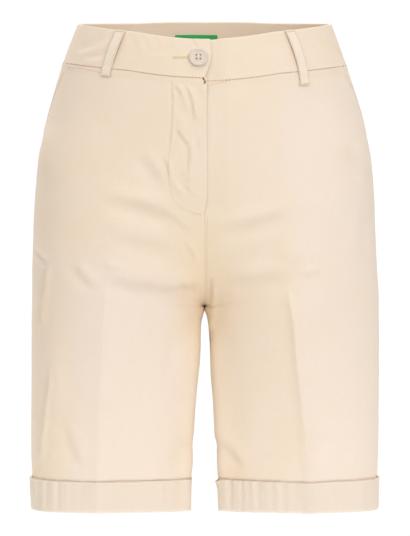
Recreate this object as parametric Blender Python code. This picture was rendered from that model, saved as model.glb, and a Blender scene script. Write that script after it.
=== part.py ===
# Women's bermuda shorts, hollow, as worn and with no wearer.
# Z is up and the front faces -Y; "right" is the wearer's right, at -X.
# The origin is the middle of the waist, where the wearer carries them.
# Tables and sizes are in millimetres; the meshes are made in metres.
#
# Every piece lies on one surface, the outside of the cloth. A place on it
# has two numbers: the girth g runs from -1 at the back edge over 0 at the
# side to 1 at the front edge, and the row number counts the sections in
# ROWS upwards. Up to the fork the edge is the inseam, above it the
# centre seam; g past 1 goes on across the centre of the other half.

import math

import bmesh
import bpy
import numpy as np
from mathutils import Vector

MM = 0.001
RIGHT, LEFT = -1, 1

# Cloth and seams
CLOTH = 1.2             # one layer of cotton twill
BAND = 2.4              # waistband, cloth folded double with its interlining
BAND_PROUD = 0.5        # the band stands on the seam allowance below it
SEAM_GAP = 0.3          # between two pieces at a seam
LAYER_GAP = 0.45        # between layers that lie on each other

# Sections, from the hem up: height of the row at the side, half width,
# and how far behind the middle the widest point lies
ROWS = (
    # name          height  width  middle
    ("hem",         -470.0, 176.6,  6.0),
    ("turn_up",     -441.0, 176.9,  6.0),
    ("low_leg",     -405.0, 177.6,  7.0),
    ("mid_leg",     -365.0, 177.9,  8.0),
    ("high_leg",    -325.0, 178.0,  9.0),
    ("thigh",       -292.0, 177.9, 10.0),
    ("fork",        -264.0, 177.6, 11.0),
    ("seat_fold",   -240.0, 177.1, 12.0),
    ("low_hip",     -216.0, 176.3, 13.0),
    ("full_hip",    -188.0, 175.2, 14.0),
    ("hip",         -152.0, 173.4, 15.0),
    ("high_hip",    -108.0, 168.9, 15.0),
    ("belly",        -64.0, 158.8, 14.0),
    ("waist_seam",   -19.0, 144.4, 12.0),
    ("band_top",      21.0, 129.2, 10.0),
)

# Front of each row. Crest: the foremost point, on the pressed crease.
# Rise and fall: slopes of the cloth before and after the crest.
# Edge: where the row ends on the inseam or the centre seam, and the
# angle at which it arrives there, 0 straight across, 90 straight back.
FRONT = (
    # crest x    y     rise   fall  edge x    y       z     turn
    (103.0,  -66.0,  0.16, -0.16,  17.2,  -12.0, -470.0, 72.0),
    (102.0,  -68.5,  0.16, -0.16,  16.8,  -12.0, -441.0, 72.0),
    (100.0,  -73.0,  0.15, -0.15,  14.6,  -12.0, -405.0, 72.0),
    ( 97.5,  -79.0,  0.14, -0.14,  11.6,  -12.0, -365.0, 72.0),
    ( 95.0,  -86.0,  0.12, -0.12,   8.2,  -12.0, -325.0, 74.0),
    ( 93.0,  -92.0,  0.09, -0.09,   5.6,  -11.0, -292.0, 76.0),
    ( 91.0,  -96.5,  0.05, -0.05,   0.0,  -10.0, -268.0, 88.0),
    ( 89.0, -100.0,  0.03, -0.02,   0.0,  -38.0, -263.0, 60.0),
    ( 87.0, -103.0,  0.04,  0.00,   0.0,  -70.0, -246.0, 34.0),
    ( 84.5, -105.0,  0.08,  0.04,   0.0,  -94.0, -214.0, 14.0),
    ( 82.0, -105.5,  0.14,  0.12,   0.0, -108.0, -170.0,  2.0),
    ( 80.0, -101.5,  0.26,  0.24,   0.0, -113.0, -125.0,  0.0),
    ( 77.5,  -95.5,  0.42,  0.40,   0.0, -111.0,  -84.0,  0.0),
    ( 74.0,  -88.4,  0.48,  0.48,   0.0, -105.0,  -43.0,  0.0),
    ( 68.0,  -79.0,  0.50,  0.50,   0.0,  -95.0,   -3.0,  0.0),
)

# Back of each row, with the same columns. Its inseam is the front's.
BACK = (
    (100.0,   76.0,  0.10, -0.10,  17.2,  -12.0, -470.0, 108.0),
    ( 99.5,   79.0,  0.10, -0.10,  16.8,  -12.0, -441.0, 108.0),
    ( 98.0,   85.0,  0.09, -0.09,  14.6,  -12.0, -405.0, 108.0),
    ( 96.0,   93.0,  0.08, -0.08,  11.6,  -12.0, -365.0, 108.0),
    ( 93.0,  102.0,  0.06, -0.06,   8.2,  -12.0, -325.0, 106.0),
    ( 90.5,  110.0,  0.04, -0.04,   5.6,  -11.0, -292.0, 104.0),
    ( 88.0,  117.0,  0.03, -0.03,   0.0,  -10.0, -268.0,  90.0),
    ( 86.0,  122.0,  0.03, -0.02,   0.0,   28.0, -265.5,  64.0),
    ( 84.0,  126.0,  0.05,  0.00,   0.0,   70.0, -254.0,  42.0),
    ( 82.0,  128.0,  0.10,  0.03,   0.0,  104.0, -224.0,  18.0),
    ( 80.0,  127.0,  0.18,  0.10,   0.0,  121.0, -176.0,   3.0),
    ( 78.0,  119.0,  0.28,  0.22,   0.0,  124.0, -118.0,   0.0),
    ( 76.0,  107.5,  0.36,  0.32,   0.0,  118.0,  -60.0,   0.0),
    ( 74.0,   95.5,  0.41,  0.40,   0.0,  110.0,   -5.0,   0.0),
    ( 68.0,   88.0,  0.44,  0.43,   0.0,  102.0,   33.0,   0.0),
)

ROW = {entry[0]: number for number, entry in enumerate(ROWS)}
TOP = ROW["band_top"]
WAIST = ROW["waist_seam"]
FORK = ROW["fork"]
HIP = ROW["hip"]

# Handles of the two cubic arcs of a row, as shares of the way they span,
# and what a slope or a turn adds to each
SIDE_HANDLE, SIDE_PER_RISE = 0.54, -0.28
CREST_HANDLE, CREST_PER_RISE = 0.54, 0.14
LEAVE_HANDLE, LEAVE_PER_TURN = 0.33, 0.22
EDGE_HANDLE, EDGE_PER_TURN = 0.34, 0.19
EDGE_DROP_POWER = 1.25  # how late a row leaves its height for its edge's
TRY_GIRTH, TRY_ROW = 0.004, 0.02    # steps by which directions are felt out

# Uneven hang of the two halves: (pressed crease outwards at the hem,
# waist seam upwards)
HANG = {RIGHT: (3.5, 1.2), LEFT: (-1.0, -1.6)}

# Largest folds: the line of each on the front or back as (x, z) of its two
# ends, how wide it is and how far it stands out (+) or sinks in (-)
FOLDS = (
    # half    side      x1      z1      x2      z2    width  height
    ("front", RIGHT,  -96.0, -150.0,   -6.0, -196.0,  13.0, -3.4),
    ("front", RIGHT, -100.0, -180.0,   -4.0, -222.0,  11.0,  2.2),
    ("front", RIGHT, -100.0, -200.0,  -14.0, -212.0,   9.0, -1.8),
    ("front", RIGHT,  -98.0, -233.0,  -12.0, -250.0,  12.0, -3.6),
    ("front", RIGHT,  -98.0, -216.0,  -20.0, -228.0,  10.0,  2.2),
    ("front", RIGHT, -136.0, -222.0, -104.0, -252.0,  10.0, -2.6),
    ("front", RIGHT,  -24.0, -200.0,   -7.0, -226.0,   6.0, -1.4),
    ("front", LEFT,    10.0, -192.0,  108.0, -164.0,  13.0, -2.8),
    ("front", LEFT,    10.0, -212.0,   98.0, -192.0,  12.0,  1.8),
    ("front", LEFT,    10.0, -240.0,   82.0, -230.0,  11.0, -2.4),
    ("front", LEFT,    90.0, -236.0,  116.0, -231.0,   8.0, -1.4),
    ("front", LEFT,    20.0, -398.0,   42.0, -428.0,   9.0, -2.2),
    ("front", RIGHT,  -14.0, -400.0,  -26.0, -432.0,   7.0, -1.6),
    ("front", RIGHT, -134.0, -384.0, -120.0, -430.0,  10.0, -1.6),
    ("back",  RIGHT, -132.0, -246.0,  -22.0, -262.0,  14.0, -3.4),
    ("back",  RIGHT, -120.0, -280.0,  -34.0, -290.0,  13.0, -2.4),
    ("back",  LEFT,    24.0, -258.0,  128.0, -242.0,  14.0, -3.0),
    ("back",  LEFT,    30.0, -286.0,  124.0, -278.0,  13.0, -2.6),
    ("back",  RIGHT,  -70.0, -214.0,  -12.0, -232.0,  11.0, -2.0),
    ("back",  LEFT,    12.0, -226.0,   80.0, -212.0,  11.0, -2.2),
)

FOLD_FADE = 0.35        # share of a fold's length over which each end fades
CALM_EDGE, CALM_SIDE = 0.07, 0.08   # girth beside the seams left unfolded
CALM_WAIST, CALM_HEM = 1.5, 0.8     # rows left unfolded

# Slanted pockets
MOUTH_TOP = 0.13        # girth of the mouth's upper end at the waist seam
MOUTH_BEND = 1.8        # above 1 the mouth curves towards the side seam
SEAM_LOW = -0.03        # side seam at the hem, just behind the widest point
SEAM_HIGH = -0.09       # side seam from the hip upwards
BAG_LOW = 7.9           # row of the bag's lowest point
BAG_CORNER = 1.1        # rows by which its lower corners are rounded up
BAG_THICK = 1.6
BAG_COLUMNS, BAG_ROWS = 8, 14
FACING_SHOWN = (0.0, 0.4, 0.75)     # its columns between seam and mouth
FACING_HIDDEN = 4                   # its columns under the front
FACING_DIVE = (0.012, 0.05)         # girth where it starts to sink, and over which

# Fly
FLY_ROW = 9.85          # row at which the fly opening ends
FLY_LAP = 0.013         # the right front laps over the centre by 2 mm
FLY_LAP_ROWS = 0.4      # rows over which the lap begins
FLY_SINK = 1.7          # the left front sinks under it
SINK_FROM, SINK_OVER = 0.84, 0.11   # girth
FLY_START_ROW, FLY_START = 9.15, 0.6        # the sink begins below the opening
SHIELD_FROM, SHIELD_TO = 0.975, 1.25
SHIELD_DEPTH = 5.15
SHIELD_COLUMNS = 6
ZIP_FROM, ZIP_TO, ZIP_ROW = 1.0, 1.15, 10.3
ZIP_DEPTH, ZIP_TAPE, ZIP_CHAIN = 3.75, 1.0, 0.7
ZIP_ACROSS = (0.0, 0.36, 0.42, 0.58, 0.64, 1.0)     # shares; the chain is the middle
ZIP_CHAIN_FROM, ZIP_CHAIN_TO = 0.4, 0.6
ZIP_ROWS = 9
# slider from its top down over its pull: (row, half its width in girth)
SLIDER = ((12.97, 0.028), (12.72, 0.028), (12.68, 0.017), (12.2, 0.017))

# Waistband: ends past the centre front, and the underlap's depth
OVERLAP_END = 1.042
UNDERLAP_END = 1.25
UNDERLAP_SINK = BAND + LAYER_GAP
UNDERLAP_FROM, UNDERLAP_OVER = 0.84, 0.115  # girth where it sinks, and over which
# places across the band, from centre back: (girth, faces since the last)
BAND_PLACES = ((-1.0, 0), (-0.5, 5), (0.5, 14), (0.86, 3))
BAND_LAST = 5           # faces from there to the end
BAND_ROWS = 5

# Turn-ups: two layers of the leg folded outwards
CUFF_THICK = 1.6
CUFF_LIP = 1.1          # fold that closes the hem from below

# Belt loops: (name, half, girth of the middle)
LOOP_WIDTH = 9.5
LOOP_THICK = 1.6
LOOPS = (
    ("belt_loop_front_right", RIGHT, 0.415),
    ("belt_loop_front_left", LEFT, 0.415),
    ("belt_loop_back_right", RIGHT, -0.40),
    ("belt_loop_back_left", LEFT, -0.40),
    ("belt_loop_centre_back", RIGHT, -1.0),
)
# Way of a loop from its lower end up: (row, height over the cloth)
LOOP_WAY = (
    (12.80, 0.35), (12.97, 0.60), (13.06, 1.15), (13.22, 2.3), (13.5, 3.0),
    (13.78, 2.3), (13.93, 1.15), (13.985, 0.90),
)

# Button
BUTTON_PLACE = (0.958, 13.5)
BUTTON_RADIUS = 9.3
BUTTON_HOLE = 0.95      # radius
BUTTON_HOLES_AT = 1.9   # from the centre, each way
BUTTON_SIDES, HOLE_SIDES = 32, 12
# profile from the back's centre to the front's centre: (radius, height)
BUTTON_PROFILE = (
    (0.0, 0.0), (7.6, 0.0), (9.0, 0.7), (9.3, 1.5), (8.9, 2.4), (7.9, 2.9),
    (6.8, 2.6), (6.2, 2.0), (5.6, 1.8), (0.0, 1.8),
)

# Label inside the back of the band: girth and row of its edges
LABEL_FROM, LABEL_TO = -1.095, -0.775
LABEL_LOW, LABEL_HIGH = 13.12, 13.68
LABEL_THICK = 1.0
LABEL_COLUMNS, LABEL_ROWS = 8, 4

# Grid of the panels
ROW_STEP = 15.0         # aimed height of one row of faces
HALF_COLUMNS = 7        # columns between a seam and the crest
CREST = 0.5             # girth of the pressed crease


def clear_scene():
    for item in list(bpy.data.objects):
        bpy.data.objects.remove(item, do_unlink=True)


def ease(value):
    """Smooth step from 0 to 1."""
    value = np.clip(value, 0.0, 1.0)
    return value * value * (3.0 - 2.0 * value)


def through_rows(table, row):
    """Smooth curve through a table's rows, read at any row number."""
    last = len(table) - 1
    low = np.clip(np.floor(row).astype(int), 0, last - 1)
    t = (row - low)[..., None]
    here, above = table[low], table[low + 1]
    before = np.where((low > 0)[..., None], table[np.maximum(low - 1, 0)], 2 * here - above)
    after = np.where((low + 2 <= last)[..., None], table[np.minimum(low + 2, last)], 2 * above - here)
    bend = 2 * before - 5 * here + 4 * above - after
    twist = 3 * (here - above) + after - before
    return here + 0.5 * t * (above - before + t * (bend + t * twist))


def arc(start, pull_start, pull_end, end, t):
    """Cubic arc between two points of a row."""
    t = t[..., None]
    return (
        (1 - t) ** 3 * start + 3 * (1 - t) ** 2 * t * pull_start
        + 3 * (1 - t) * t * t * pull_end + t ** 3 * end
    )


def half_surface(table, outward, side, part, row):
    """Points of the front or back; part is 0 at the side and 1 at the edge."""
    sides = np.array([entry[1:] for entry in ROWS])
    sides[WAIST, 0] += HANG[side][1]
    crests = np.array(table)
    crests[WAIST, 6] += HANG[side][1] if outward < 0 else 0.0
    height, width, middle = np.moveaxis(through_rows(sides, row), -1, 0)
    crest_x, crest_y, rise, fall = np.moveaxis(through_rows(crests[:, :4], row), -1, 0)
    # the inseam and the centre seam are curves of their own, met at the fork
    inseam = through_rows(crests[:FORK + 1, 4:], np.minimum(row, FORK))
    centre = through_rows(crests[FORK:, 4:], np.maximum(row - FORK, 0.0))
    edges = np.where((row < FORK)[..., None], inseam, centre)
    edge_x, edge_y, edge_z, turn = np.moveaxis(edges, -1, 0)
    crest_x = crest_x + HANG[side][0] * np.clip(1.0 - row / FORK, 0.0, 1.0)
    turn = np.radians(turn)
    to_crest = width - crest_x
    to_edge = crest_x - edge_x
    depth = np.abs(crest_y - middle)
    side_point = np.stack([width, middle], -1)
    crest = np.stack([crest_x, crest_y], -1)
    edge = np.stack([edge_x, edge_y], -1)
    # lengths of the handles that round each arc
    push = (SIDE_HANDLE + SIDE_PER_RISE * rise) * depth
    pull = (CREST_HANDLE + CREST_PER_RISE * rise) * to_crest
    leave = (LEAVE_HANDLE + LEAVE_PER_TURN * np.sin(turn)) * to_edge
    reach = np.cos(turn) ** 2 * to_edge + np.sin(turn) ** 2 * np.abs(edge_y - crest_y)
    arrive = (EDGE_HANDLE + EDGE_PER_TURN * np.sin(turn)) * reach
    outer = arc(
        side_point,
        side_point + np.stack([0 * push, outward * push], -1),
        crest + np.stack([pull, -outward * rise * pull], -1),
        crest,
        np.clip(2 * part, 0, 1),
    )
    inner = arc(
        crest,
        crest + np.stack([-leave, outward * fall * leave], -1),
        edge + np.stack([arrive * np.cos(turn), outward * arrive * np.sin(turn)], -1),
        edge,
        np.clip(2 * part - 1, 0, 1),
    )
    flat = np.where((part < 0.5)[..., None], outer, inner)
    # neither half reaches the middle plane
    flat[..., 0] = np.maximum(flat[..., 0], 0.5 * SEAM_GAP)
    z = height + (edge_z - height) * np.sin(0.5 * math.pi * part) ** EDGE_DROP_POWER
    return np.concatenate([flat, z[..., None]], -1)


def smooth_surface(side, girth, row):
    """The cloth's outside before folding."""
    girth, row = np.broadcast_arrays(np.asarray(girth, float), np.asarray(row, float))
    part = np.abs(girth)
    crossed = part > 1.0
    part = np.where(crossed, 2.0 - part, part)
    front = half_surface(FRONT, -1.0, side, part, row)
    back = half_surface(BACK, 1.0, side, part, row)
    point = np.where((girth >= 0)[..., None], front, back)
    point[..., 0] *= np.where(crossed, -side, side)
    return point


def directions(surface, side, girth, row):
    """Unit vectors along the girth, up the rows and out of the cloth."""
    girth, row = np.broadcast_arrays(np.asarray(girth, float), np.asarray(row, float))
    step, lift = TRY_GIRTH, TRY_ROW
    # a leg's girth ends at its inseam, so there the step stays inside
    ahead = np.where((row <= FORK) & (girth + step > 1), girth, girth + step)
    behind = np.where((row <= FORK) & (girth - step < -1), girth, girth - step)
    along = surface(side, ahead, row) - surface(side, behind, row)
    upward = surface(side, girth, row + lift) - surface(side, girth, row - lift)
    along /= np.linalg.norm(along, axis=-1, keepdims=True)
    upward /= np.linalg.norm(upward, axis=-1, keepdims=True)
    outward = np.cross(along, upward) * -side
    outward /= np.linalg.norm(outward, axis=-1, keepdims=True)
    return along, upward, outward


def fold_height(side, girth, row, point):
    """How far the folds lift (+) or sink (-) the cloth at a point."""
    total = np.zeros(point.shape[:-1])
    for half, fold_side, x1, z1, x2, z2, width, height in FOLDS:
        if fold_side != side:
            continue
        line = np.array([x2 - x1, z2 - z1])
        length = np.linalg.norm(line)
        line /= length
        across = point[..., [0, 2]] - np.array([x1, z1])
        along = across @ line
        away = across[..., 0] * line[1] - across[..., 1] * line[0]
        fade = ease(along / (FOLD_FADE * length)) * ease((length - along) / (FOLD_FADE * length))
        on_half = girth > 0 if half == "front" else girth < 0
        total += np.where(on_half, height * fade * np.exp(-((away / width) ** 2)), 0.0)
    # folds die out at the seams and at the waist
    part = np.abs(girth)
    calm = ease((1.0 - np.minimum(part, 2 - part)) / CALM_EDGE) * ease(part / CALM_SIDE)
    return total * calm * ease((WAIST - row) / CALM_WAIST) * ease(row / CALM_HEM)


def left_front_sink(side, girth, row):
    """The left front drops under the right one along the fly opening."""
    if side == RIGHT:
        return 0.0
    near = ease((girth - SINK_FROM) / SINK_OVER) * (girth > 0)
    return -FLY_SINK * near * ease((row - FLY_START_ROW) / FLY_START)


def cloth(side, girth, row):
    """The cloth's outside with its folds."""
    point = smooth_surface(side, girth, row)
    outward = directions(smooth_surface, side, girth, row)[2]
    girth, row = np.broadcast_arrays(np.asarray(girth, float), np.asarray(row, float))
    lift = fold_height(side, girth, row, point)
    return point + outward * lift[..., None]


def make_object(name, points, faces, material):
    mesh = bpy.data.meshes.new(name)
    mesh.from_pydata([Vector(point) * MM for point in points], [], faces)
    shape = bmesh.new()
    shape.from_mesh(mesh)
    bmesh.ops.triangulate(shape, faces=shape.faces)
    bmesh.ops.recalc_face_normals(shape, faces=shape.faces)
    shape.to_mesh(mesh)
    shape.free()
    mesh.shade_smooth()
    mesh.set_sharp_from_angle(angle=math.radians(40))
    mesh.materials.append(material)
    item = bpy.data.objects.new(name, mesh)
    bpy.context.scene.collection.objects.link(item)
    return item


def cloth_wall(name, side, girth, row, outer, thick, material):
    """A wall of cloth over a grid of places, pulled in at its four edges."""
    point = cloth(side, girth, row)
    outward = directions(cloth, side, girth, row)[2]
    outer = np.broadcast_to(outer, girth.shape)[..., None]
    thick = np.broadcast_to(thick, girth.shape)[..., None]
    half_gap = 0.5 * SEAM_GAP
    for edge, neighbour in ((0, 1), (-1, -2)):
        for grid in (point, point.transpose(1, 0, 2)):
            way = grid[neighbour] - grid[edge]
            grid[edge] += half_gap * way / np.linalg.norm(way, axis=-1, keepdims=True)
    rows, columns = girth.shape
    points = np.concatenate([
        (point + outward * outer).reshape(-1, 3),
        (point + outward * (outer - thick)).reshape(-1, 3),
    ])
    under = rows * columns
    faces = []
    for r in range(rows - 1):
        for c in range(columns - 1):
            a = r * columns + c
            quad = (a, a + 1, a + columns + 1, a + columns)
            faces.append(quad)
            faces.append(tuple(under + corner for corner in reversed(quad)))
    rim = [c for c in range(columns)]
    rim += [r * columns + columns - 1 for r in range(1, rows)]
    rim += [(rows - 1) * columns + c for c in range(columns - 2, -1, -1)]
    rim += [r * columns for r in range(rows - 2, 0, -1)]
    for a, b in zip(rim, rim[1:] + rim[:1]):
        faces.append((b, a, under + a, under + b))
    return make_object(name, points, faces, material)


def loft(name, sections, material, ring=False):
    """Joins closed sections in order; a ring joins the last to the first."""
    size = len(sections[0])
    points = np.concatenate(sections)
    count = len(sections)
    faces = []
    for s in range(count if ring else count - 1):
        here, there = s * size, (s + 1) % count * size
        for c in range(size):
            d = (c + 1) % size
            faces.append((here + c, here + d, there + d, there + c))
    if not ring:
        faces.append(tuple(range(size))[::-1])
        faces.append(tuple(range((count - 1) * size, count * size)))
    return make_object(name, points, faces, material)


def row_stations(low, high):
    """Rows of faces between two rows of the table, evenly high."""
    stations = []
    for number in range(low, high):
        rise = ROWS[number + 1][1] - ROWS[number][1]
        steps = max(2, round(rise / ROW_STEP))
        stations += [number + step / steps for step in range(steps)]
    return np.array(stations + [float(high)])


def side_seam(row):
    return SEAM_LOW + (SEAM_HIGH - SEAM_LOW) * np.clip(row / HIP, 0.0, 1.0)


def pocket_mouth(row):
    """Girth of the front's outer edge: the pocket mouth, then the side seam."""
    climb = np.clip((row - HIP) / (WAIST - HIP), 0.0, 1.0)
    return side_seam(row) + (MOUTH_TOP - SEAM_HIGH) * climb ** MOUTH_BEND


def columns_between(start, end, crest):
    """Girth places from start over the crest to the end, for every row."""
    share = np.linspace(0.0, 1.0, HALF_COLUMNS + 1)
    outer = start[:, None] + (crest - start)[:, None] * share
    inner = crest + (end - crest)[:, None] * share[1:]
    return np.concatenate([outer, inner], axis=1)


def front_columns(side, row):
    end = np.ones_like(row)
    if side == RIGHT:
        end = end + FLY_LAP * ease((row - FLY_ROW) / FLY_LAP_ROWS)
    return columns_between(pocket_mouth(row), end, CREST)


def build_fronts(material):
    for side, word in ((RIGHT, "right"), (LEFT, "left")):
        row = row_stations(0, WAIST)
        girth = front_columns(side, row)
        rows = np.broadcast_to(row[:, None], girth.shape)
        sink = left_front_sink(side, girth, rows)
        cloth_wall("front_" + word, side, girth, rows, sink, CLOTH, material)


def build_backs(material):
    for side, word in ((RIGHT, "right"), (LEFT, "left")):
        row = row_stations(0, WAIST)
        girth = columns_between(side_seam(row), -np.ones_like(row), -CREST)
        rows = np.broadcast_to(row[:, None], girth.shape)
        cloth_wall("back_" + word, side, girth, rows, 0.0, CLOTH, material)


def build_pockets(facing_material, bag_material):
    """Facings flush in the mouth and sunk under the front, bags behind."""
    under = CLOTH + LAYER_GAP
    for side, word in ((RIGHT, "right"), (LEFT, "left")):
        row = row_stations(HIP, WAIST)[1:]
        mouth = pocket_mouth(row)[:, None]
        seam = side_seam(row)[:, None]
        shown = seam + (mouth - seam) * np.array(FACING_SHOWN)
        hidden = front_columns(side, row)[:, :FACING_HIDDEN]
        girth = np.concatenate([shown, hidden], axis=1)
        rows = np.broadcast_to(row[:, None], girth.shape)
        sunk = -under * (1.0 - ease((mouth - girth - FACING_DIVE[0]) / FACING_DIVE[1]))
        cloth_wall("pocket_facing_" + word, side, girth, rows, sunk, CLOTH, facing_material)

        column = np.arange(BAG_COLUMNS)
        low = BAG_LOW + BAG_CORNER * (1.0 - np.sin(math.pi * (column + 0.5) / BAG_COLUMNS))
        share = np.linspace(0.0, 1.0, BAG_ROWS)[:, None]
        rows = low + (WAIST - low) * share
        girth = np.stack([front_columns(side, rows[:, c])[:, c] for c in column], axis=1)
        cloth_wall("pocket_bag_" + word, side, girth, rows, -2 * under, BAG_THICK, bag_material)


def build_fly(shield_material, zip_material, slider_material):
    """Shield, closed zip and its slider, one behind the other."""
    row = row_stations(int(FLY_ROW), WAIST)
    row = row[row >= FLY_ROW]
    girth = np.linspace(SHIELD_FROM, SHIELD_TO, SHIELD_COLUMNS)[None, :]
    girth, rows = np.broadcast_arrays(girth, row[:, None])
    cloth_wall("fly_shield", LEFT, girth, rows, -SHIELD_DEPTH, CLOTH, shield_material)

    across = np.array(ZIP_ACROSS)
    row = np.linspace(ZIP_ROW, WAIST, ZIP_ROWS)
    girth, rows = np.broadcast_arrays(ZIP_FROM + (ZIP_TO - ZIP_FROM) * across[None, :], row[:, None])
    on_chain = (across > ZIP_CHAIN_FROM) & (across < ZIP_CHAIN_TO)
    chain = np.where(on_chain, ZIP_CHAIN, 0.0)[None, :]
    cloth_wall("fly_zip", LEFT, girth, rows, -ZIP_DEPTH + chain, ZIP_TAPE + chain, zip_material)

    slider = np.array(SLIDER)
    girth = 0.5 * (ZIP_FROM + ZIP_TO) + slider[:, 1:] * np.array([-1.0, 1.0])
    rows = np.broadcast_to(slider[:, :1], girth.shape)
    top = CLOTH + LAYER_GAP
    cloth_wall("zip_slider", LEFT, girth, rows, -top, ZIP_DEPTH - ZIP_CHAIN - LAYER_GAP - top, slider_material)


def build_waistband(material):
    row = np.linspace(WAIST, TOP, BAND_ROWS)
    for side, word, end in ((RIGHT, "right", OVERLAP_END), (LEFT, "left", UNDERLAP_END)):
        girth = [BAND_PLACES[0][0]]
        for place, faces in (*BAND_PLACES[1:], (end, BAND_LAST)):
            girth += list(np.linspace(girth[-1], place, faces + 1)[1:])
        girth, rows = np.broadcast_arrays(np.array(girth)[None, :], row[:, None])
        sink = 0.0
        if side == LEFT:
            sink = -UNDERLAP_SINK * ease((girth - UNDERLAP_FROM) / UNDERLAP_OVER)
        cloth_wall("waistband_" + word, side, girth, rows, BAND_PROUD + sink, BAND, material)


def build_turn_ups(material):
    """Ring outside each hem; its lower fold reaches in under the leg."""
    for side, word in ((RIGHT, "right"), (LEFT, "left")):
        start = np.array([side_seam(0.0)])
        front = columns_between(start, np.array([1.0]), CREST)[0]
        back = columns_between(start, np.array([-1.0]), -CREST)[0]
        girth = np.concatenate([front, back[-2:0:-1]])
        inner, outer = SEAM_GAP, SEAM_GAP + CUFF_THICK
        bottom = -SEAM_GAP - CUFF_LIP
        # row, distance out of the cloth, drop below the hem
        section = (
            (1.0, outer, 0.0), (0.5, outer, 0.0), (0.0, outer, bottom),
            (0.0, -CLOTH, bottom), (0.0, -CLOTH, -SEAM_GAP), (0.0, inner, -SEAM_GAP),
            (0.5, inner, 0.0), (1.0, inner, 0.0),
        )
        rings = []
        for row, out, drop in section:
            ring = cloth(side, girth, row) + directions(cloth, side, girth, row)[2] * out
            ring[:, 2] = ring[:, 2] + drop
            rings.append(ring)
        loft("turn_up_" + word, rings, material, ring=True)


def build_loops(material):
    half = 0.5 * LOOP_WIDTH
    # across the strip: (place from the middle, height)
    section = (
        (-half, 0.0), (half, 0.0), (half, 0.7 * LOOP_THICK), (0.6 * half, LOOP_THICK),
        (-0.6 * half, LOOP_THICK), (-half, 0.7 * LOOP_THICK),
    )
    for name, side, girth in LOOPS:
        strip = []
        for row, height in LOOP_WAY:
            place = cloth(side, girth, row)
            along, _, outward = directions(cloth, side, girth, row)
            strip.append(np.array([
                place + along * across + outward * (height + rise) for across, rise in section
            ]))
        loft(name, strip, material)


def build_button(material):
    """Turned disc with a rim, drilled with four holes."""
    place = cloth(RIGHT, *BUTTON_PLACE)
    along, _, outward = directions(cloth, RIGHT, *BUTTON_PLACE)
    upward = np.cross(outward, along)
    place = place + outward * (BAND_PROUD + SEAM_GAP)
    rings = []
    for radius, height in BUTTON_PROFILE[1:-1]:
        ring = [
            place + outward * height
            + radius * (math.cos(turn) * along + math.sin(turn) * upward)
            for turn in np.arange(BUTTON_SIDES) * 2 * math.pi / BUTTON_SIDES
        ]
        rings.append(np.array(ring))
    button = loft("waist_button", rings, material)
    for x in (-BUTTON_HOLES_AT, BUTTON_HOLES_AT):
        for y in (-BUTTON_HOLES_AT, BUTTON_HOLES_AT):
            bpy.ops.mesh.primitive_cylinder_add(
                vertices=HOLE_SIDES, radius=BUTTON_HOLE * MM, depth=12 * MM
            )
            drill = bpy.context.object
            drill.name = "button_drill"
            drill.location = Vector(place + along * x + upward * y) * MM
            drill.rotation_mode = "QUATERNION"
            drill.rotation_quaternion = Vector(outward).to_track_quat("Z", "Y")
            drill.hide_render = True
            drill.display_type = "WIRE"
            cut = button.modifiers.new("hole", "BOOLEAN")
            cut.operation = "DIFFERENCE"
            cut.solver = "EXACT"
            cut.object = drill


def build_label(material):
    girth = np.linspace(LABEL_FROM, LABEL_TO, LABEL_COLUMNS)
    row = np.linspace(LABEL_LOW, LABEL_HIGH, LABEL_ROWS)
    girth, rows = np.broadcast_arrays(girth[None, :], row[:, None])
    depth = BAND_PROUD - BAND - LAYER_GAP
    cloth_wall("waist_label", RIGHT, girth, rows, depth, LABEL_THICK, material)


def make_material(name, colour, roughness, metallic=0.0):
    material = bpy.data.materials.new(name)
    material.use_nodes = True
    shader = material.node_tree.nodes["Principled BSDF"]
    shader.inputs["Base Color"].default_value = (*colour, 1.0)
    shader.inputs["Roughness"].default_value = roughness
    shader.inputs["Metallic"].default_value = metallic
    return material


def main():
    clear_scene()
    twill = make_material("cotton_twill", (0.83, 0.70, 0.54), 0.85)
    pocketing = make_material("cotton_pocketing", (0.86, 0.79, 0.68), 0.9)
    build_fronts(twill)
    build_backs(twill)
    build_pockets(twill, pocketing)
    build_fly(twill, make_material("zip_tape", (0.80, 0.69, 0.55), 0.7),
              make_material("zip_metal", (0.72, 0.66, 0.52), 0.35, 1.0))
    build_waistband(twill)
    build_turn_ups(twill)
    build_loops(twill)
    build_button(make_material("button_resin", (0.72, 0.62, 0.50), 0.45))
    build_label(make_material("label_satin", (0.02, 0.40, 0.13), 0.5))


main()
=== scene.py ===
import math
import bmesh
import bpy
import numpy as np
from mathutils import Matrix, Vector


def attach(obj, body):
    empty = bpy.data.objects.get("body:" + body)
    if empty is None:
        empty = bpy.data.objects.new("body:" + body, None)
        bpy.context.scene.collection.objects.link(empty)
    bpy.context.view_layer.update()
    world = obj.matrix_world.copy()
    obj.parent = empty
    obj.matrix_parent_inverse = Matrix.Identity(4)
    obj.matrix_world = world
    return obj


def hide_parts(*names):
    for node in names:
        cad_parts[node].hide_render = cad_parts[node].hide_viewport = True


# Women's bermuda shorts, filled out and hollow. Z is up, the front faces -Y,
# the wearer's right is at -X. All tables are in millimetres.

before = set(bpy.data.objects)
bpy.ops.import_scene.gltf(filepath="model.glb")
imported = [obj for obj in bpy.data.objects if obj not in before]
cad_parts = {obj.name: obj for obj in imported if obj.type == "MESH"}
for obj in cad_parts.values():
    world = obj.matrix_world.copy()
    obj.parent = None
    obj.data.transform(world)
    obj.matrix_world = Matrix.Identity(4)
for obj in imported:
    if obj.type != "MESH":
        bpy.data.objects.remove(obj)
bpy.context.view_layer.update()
millimetre = 0.001
right, left = -1, 1
sides = ((right, "Right"), (left, "Left"))
girthLong = 240.0     # mm of cloth from the side to an edge, for patterns on the cloth
print("frame loaded,", len(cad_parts), "nodes")


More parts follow.
